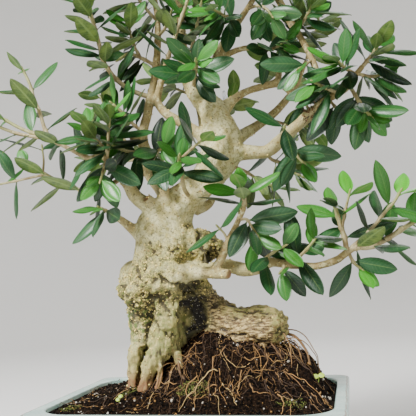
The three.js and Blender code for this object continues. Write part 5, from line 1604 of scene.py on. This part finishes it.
def make_fine_roots(settings):
    """The net of fine roots over the soil: three in four start on the mound, where tufts hang too."""
    clay = Clay("kind")
    draw = draws_from(ROOT_SEED)
    for number in range(ROOT_COUNT):
        if number % 4:
            start = (20 + 94 * (draw() - 0.5), 2 + 96 * (draw() - 0.5))
        else:
            start = (180 * (draw() - 0.5), 132 * (draw() - 0.5))
        thick = 0.13 + 0.32 * draw() ** 3
        downhill = math.atan2(start[1] - MOUND_TOP[1], start[0] - MOUND_TOP[0])
        heading = downhill + 2.6 * (draw() - 0.5)
        route = creeping(start, heading, 9 + 26 * draw(), draw, 0.3 + 3.6 * draw() ** 2, 1.0)
        add_strand(clay, route, thick, 0.5 * thick, draw())
    for low, high, heading, count in TUFTS:
        for _ in range(count):
            start = np.array([lerp(a, b, draw()) for a, b in zip(low, high)])
            thick = 0.16 + 0.3 * draw() ** 2
            turned = heading + 2.8 * (draw() - 0.5)
            route = hanging(start, turned, 4 + 17 * draw(), 6 * draw() ** 2, draw)
            add_strand(clay, route, thick, 0.5 * thick, draw())
    for thick, route in ROOT_LOOPS:
        crooked = smooth_rows(route, 3)
        crooked += 0.8 * np.column_stack([noise_at(crooked, 7, 2, shift=shift) for shift in (0, 5, 9)])
        add_strand(clay, crooked, thick, 0.5 * thick, 0.45 + 0.4 * draw(), 7)
    dress(clay.piece("fine_roots", [fibre_finish(settings)]), "bark")


MOSS_FACES = ((0, 1, 4), (1, 2, 4), (2, 3, 4), (3, 0, 4), (0, 3, 1), (1, 3, 2))


def make_moss(settings):
    """Cushions of moss: many short leafy blades."""
    clay = Clay("kind")
    draw = draws_from(MOSS_SEED)
    for x, y, reach, thickness in MOSS_PATCHES:
        for _ in range(int(MOSS_BLADES * thickness * reach / 10)):
            away, angle = reach * math.sqrt(draw()), WHOLE_TURN * draw()
            px, py = x + away * math.cos(angle), y + 0.6 * away * math.sin(angle)
            z = float(soil_surface(px, py)[0])
            tall = (0.8 + 1.3 * draw()) * (1.1 - 0.6 * away / reach)
            lean = np.array((draw() - 0.5, draw() - 0.5, 1.1))
            out = unit(np.array((draw() - 0.5, draw() - 0.5, 0.0)) + 1e-6) * 0.28
            foot = np.array((px, py, z - 0.2))
            tip = foot + unit(lean) * tall
            waist = lerp(foot, tip, 0.5)
            points = [foot, waist + out, tip, waist - out, waist + np.cross(out, UP) * 0.8]
            clay.add(points, MOSS_FACES, kind=draw())
    green = plain_green_finish("moss", settings.moss, settings.moss_light, 1.5, 0.8)
    dress(clay.piece("moss_tufts", [green], smooth=False), "soil")


SEEDLINGS = ((85, -12, 5.0, 0.2), (-48, -42, 3.8, 0.8))  # x, y, height, turn
SEED_LEAF_TILT = 0.95


def make_seedlings(settings):
    """Weed seedlings: a thread of a stem and two round seed leaves."""
    clay = Clay("kind")
    for x, y, tall, turn in SEEDLINGS:
        foot = np.array((x, y, float(soil_surface(x, y)[0]) - 0.5))
        top = foot + np.array((0.6, -0.5, tall))
        add_strand(clay, np.array([foot, lerp(foot, top, 0.5) + (0.3, 0, 0), top]), 0.3, 0.25, 0.4, 6)
        for half in (0, math.pi):
            out = np.array((math.cos(turn + half), -0.3 * math.sin(turn + half), math.sin(turn + half)))
            reach = (0.44 * tall, 0.38 * tall, 0.3)
            add_ball(clay, top + out * 0.42 * tall, reach, 3, (SEED_LEAF_TILT, 0, 0), kind=1)
    green = plain_green_finish("seedling", settings.seedling, settings.seedling_light, 1.2, 0.45)
    dress(clay.piece("seedlings", [green]), "soil")


# ---------------------------------------------------------------- stage

FLOOR_MIDDLE, FLOOR_FLAT, FLOOR_BEND, FLOOR_RISE, FLOOR_SIDES = 20, 1100, 700, 1500, 96
LAMPS = (  # a setting's name, a place in metres and a size
    ("key", (-0.55, -0.75, 1.0), 0.34), ("fill", (0.9, -0.6, 0.6), 0.8), ("back", (0.2, 0.9, 0.9), 0.7),
)
LAMPS_AIM = (0, 0, 0.2)
CAMERA_AT = (0.112, -0.471, 0.1545)
CAMERA_YAW, CAMERA_PITCH, CAMERA_ROLL = 12.12, 5.96, -2.49
LENS, SENSOR = 56.25, 36.0


def make_stage(settings):
    """A pale bowl of a floor, soft light from above and a camera at the height of the bole."""
    clay = Clay()
    profile = [(FLOOR_MIDDLE + (FLOOR_FLAT - FLOOR_MIDDLE) * i / 8, 0) for i in range(9)]
    profile += [(FLOOR_FLAT + FLOOR_BEND * math.sin(a), FLOOR_BEND * (1 - math.cos(a)))
                for a in np.linspace(0, math.pi / 2, 13)[1:]]
    profile.append((FLOOR_FLAT + FLOOR_BEND, FLOOR_BEND + FLOOR_RISE))
    sides = FLOOR_SIDES
    angles = 2 * math.pi * np.arange(sides) / sides
    points = np.vstack([np.column_stack([r * np.cos(angles), r * np.sin(angles), np.full(sides, z)])
                        for r, z in profile] + [[(0, 0, 0)]])
    faces = [(i * sides + j, i * sides + (j + 1) % sides,
              (i + 1) * sides + (j + 1) % sides, (i + 1) * sides + j)
             for i in range(len(profile) - 1) for j in range(sides)]
    faces += [(j, len(points) - 1, (j + 1) % sides) for j in range(sides)]
    clay.add(points, faces)
    floor = clay.piece("floor", [floor_finish(settings)])

    world = bpy.data.worlds.new("sky")
    bpy.context.scene.world = world
    world.use_nodes = True
    world.node_tree.nodes["Background"].inputs["Color"].default_value = (1, 1, 1, 1)
    world.node_tree.nodes["Background"].inputs["Strength"].default_value = settings.sky
    for name, place, size in LAMPS:
        light = bpy.data.lights.new(name, "AREA")
        light.energy, light.size = getattr(settings, name), size
        lamp = bpy.data.objects.new(name, light)
        lamp.location = place
        towards = Vector(LAMPS_AIM) - Vector(place)
        lamp.rotation_euler = towards.to_track_quat("-Z", "Y").to_euler()
        bpy.context.scene.collection.objects.link(lamp)

    camera = bpy.data.cameras.new("camera")
    camera.lens, camera.sensor_width = LENS, SENSOR
    eye = bpy.data.objects.new("camera", camera)
    turn = (Euler((0, 0, math.radians(CAMERA_YAW))).to_matrix()
            @ Euler((math.radians(90 + CAMERA_PITCH), 0, 0)).to_matrix()
            @ Euler((0, 0, math.radians(CAMERA_ROLL))).to_matrix())
    eye.location, eye.rotation_euler = CAMERA_AT, turn.to_euler()
    bpy.context.scene.collection.objects.link(eye)
    bpy.context.scene.camera = eye


# ---------------------------------------------------------------- settings, operators and panel

def colour(name, description, red, green, blue):
    """A colour setting with a default given in screen values from 0 to 255."""
    return bpy.props.FloatVectorProperty(name=name, description=description, subtype="COLOR", size=4,
                                         min=0, max=1, default=paint(red, green, blue))


def amount(name, description, default, highest):
    """A number setting from 0 to a highest value."""
    return bpy.props.FloatProperty(name=name, description=description, default=default, min=0,
                                   max=highest)


class BonsaiBark(bpy.types.PropertyGroup):
    """The colours of the trunk and roots."""
    cream: colour("Cream", "Smooth bark in the light", 194, 188, 142)
    sand: colour("Sand", "Smooth bark where it is warmer", 164, 150, 92)
    olive_bark: colour("Olive bark", "Rough greenish bark", 120, 116, 52)
    bead: colour("Bead", "Beads of corky bark", 240, 216, 128)
    # Dark of real pits and cracks, and also the painted shade in the bark's dents, creases and over the
    # bridge.
    pit_and_shade: colour("Pit", "Pits and cracks", 38, 30, 16)
    log_dark: colour("Log, dark", "Weathered wood in the shade of its fibres", 84, 62, 36)
    log_light: colour("Log, light", "Weathered wood on its fibres", 186, 162, 106)
    twig_bark: colour("Twig bark", "Thin limbs", 132, 114, 68)
    moss_film: colour("Green film", "Algae and lichen in the damp folds", 92, 108, 50)
    red_bark: colour("Red bark", "Bark at the soil", 126, 80, 50)
    lichen: colour("Lichen", "Yellow lichen on the upper side of the old root", 150, 142, 82)
    lenticel: colour("Lenticel", "Brown corky dots on smooth bark", 126, 100, 54)
    bristle: colour("Bristle", "Dry brown scales and fibres round an old spur", 104, 62, 32)
    # Painted shade: near-black for the hollow and the undercut under the bole, where shade falls.
    hollow: colour("Hollow", "Black soil in the hollow under the bole", 24, 20, 15)
    crumb: colour("Crumb", "Pumice crumbs in the hollow", 190, 182, 168)


class BonsaiLeaf(bpy.types.PropertyGroup):
    """The colours of the leaves and shoots."""
    deep: colour("Deep green", "Old leaves in shade", 4, 26, 15)
    green: colour("Green", "Old leaves", 24, 72, 30)
    young: colour("Young green", "Leaves of this spring", 74, 164, 30)
    rib: colour("Rib", "Midribs, veins and edges", 122, 146, 76)
    under: colour("Underside", "Undersides", 116, 138, 56)
    under_dark: colour("Underside, dark", "Undersides where they are darker", 62, 88, 34)
    shoot: colour("Shoot", "Young wood", 172, 162, 118)
    shoot_dark: colour("Shoot, dark", "Young wood where it is darker", 124, 106, 66)
    knot: colour("Knot", "Specks and knots on young wood", 104, 72, 44)
    shoot_green: colour("Shoot tip", "This year's growth", 126, 138, 72)


class BonsaiPot(bpy.types.PropertyGroup):
    """The colours of the pot."""
    glaze: colour("Glaze", "Where the glaze is thick", 158, 192, 184)
    glaze_thin: colour("Thin glaze", "Where the glaze is thin", 186, 208, 198)
    glaze_line: colour("Crackle", "Crackle lines", 120, 138, 126)
    rim_line: colour("Rim line", "Where the clay shows through", 120, 92, 66)
    clay: colour("Clay", "The bare underside", 146, 112, 84)
    line_inset: amount("Line inset", "How far the rim's line is from its edge, in mm", 1.6, 9)


class BonsaiSoil(bpy.types.PropertyGroup):
    """The colours of the soil and of what grows on it."""
    earth: colour("Earth", "Moist soil", 10, 7, 5)
    earth_light: colour("Light earth", "Drier soil", 40, 28, 19)
    fibre: colour("Fibre", "Bits of root and bark", 172, 130, 76)
    crumb: colour("Crumb", "Pumice", 196, 188, 174)
    root_dark: colour("Dark root", "Old fine roots", 56, 36, 18)
    root_pale: colour("Pale root", "Fresh fine roots", 200, 170, 112)
    moss: colour("Moss", "Moss in shade", 58, 72, 26)
    moss_light: colour("Light moss", "Moss tips", 116, 126, 52)
    seedling: colour("Seedling", "Stems of seedlings", 120, 140, 50)
    seedling_light: colour("Seed leaf", "Seed leaves", 158, 182, 48)


class BonsaiStage(bpy.types.PropertyGroup):
    """The floor and the light."""
    floor: colour("Floor", "The surface it stands on", 226, 225, 222)
    sky: amount("Sky", "Strength of the light from all round", 0.05, 5)
    key: amount("Key light", "Power of the light from the front left, in watts", 46, 200)
    fill: amount("Fill light", "Power of the light from the right, in watts", 3, 200)
    back: amount("Back light", "Power of the light from behind, in watts", 7, 200)


GROUPS = {"bonsai_bark": BonsaiBark, "bonsai_leaf": BonsaiLeaf, "bonsai_pot": BonsaiPot,
          "bonsai_soil": BonsaiSoil, "bonsai_stage": BonsaiStage}


class BONSAI_OT_stage(bpy.types.Operator):
    """Sets the floor, the light and the camera"""
    bl_idname = "bonsai.stage"
    bl_label = "Stage"

    def execute(self, context):
        make_stage(context.scene.bonsai_stage)
        return {"FINISHED"}


class BONSAI_OT_pot(bpy.types.Operator):
    """Makes the glazed pot and finishes its drain nets"""
    bl_idname = "bonsai.pot"
    bl_label = "Pot"

    def execute(self, context):
        make_pot(context.scene.bonsai_pot)
        make_screens()
        return {"FINISHED"}


class BONSAI_OT_soil(bpy.types.Operator):
    """Fills the pot with soil, grit and fine roots"""
    bl_idname = "bonsai.soil"
    bl_label = "Soil"

    def execute(self, context):
        settings = context.scene.bonsai_soil
        make_soil(settings)
        make_grit(settings)
        make_fine_roots(settings)
        return {"FINISHED"}


class BONSAI_OT_ground_cover(bpy.types.Operator):
    """Grows the moss and the seedlings"""
    bl_idname = "bonsai.ground_cover"
    bl_label = "Moss and seedlings"

    def execute(self, context):
        settings = context.scene.bonsai_soil
        make_moss(settings)
        make_seedlings(settings)
        return {"FINISHED"}


class BONSAI_OT_trunk(bpy.types.Operator):
    """Grows the trunk, its roots and its limbs"""
    bl_idname = "bonsai.trunk"
    bl_label = "Trunk"

    def execute(self, context):
        make_trunk(context.scene.bonsai_bark)
        return {"FINISHED"}


class BONSAI_OT_twigs(bpy.types.Operator):
    """Grows the leafy twigs"""
    bl_idname = "bonsai.twigs"
    bl_label = "Twigs"

    def execute(self, context):
        make_twigs(context.scene.bonsai_leaf)
        return {"FINISHED"}


OPERATORS = (BONSAI_OT_stage, BONSAI_OT_pot, BONSAI_OT_soil, BONSAI_OT_ground_cover, BONSAI_OT_trunk,
             BONSAI_OT_twigs)


class BONSAI_PT_panel(bpy.types.Panel):
    """Lists the pieces of the bonsai"""
    bl_idname = "BONSAI_PT_panel"
    bl_label = "Olive bonsai"
    bl_space_type = "VIEW_3D"
    bl_region_type = "UI"
    bl_category = "Bonsai"

    def draw(self, context):
        for operator in OPERATORS:
            self.layout.operator(operator.bl_idname)
        for group in GROUPS:
            box = self.layout.box()
            settings = getattr(context.scene, group)
            for name in settings.__annotations__:
                box.prop(settings, name)


CLASSES = (*GROUPS.values(), *OPERATORS, BONSAI_PT_panel)


def register():
    for cls in CLASSES:
        bpy.utils.register_class(cls)
    for name, group in GROUPS.items():
        setattr(bpy.types.Scene, name, bpy.props.PointerProperty(type=group))


def unregister():
    for name in GROUPS:
        delattr(bpy.types.Scene, name)
    for cls in reversed(CLASSES):
        bpy.utils.unregister_class(cls)


def main():
    register()
    bpy.ops.bonsai.stage()
    bpy.ops.bonsai.pot()
    bpy.ops.bonsai.soil()
    bpy.ops.bonsai.ground_cover()
    bpy.ops.bonsai.trunk()
    bpy.ops.bonsai.twigs()


if __name__ == "__main__":
    main()
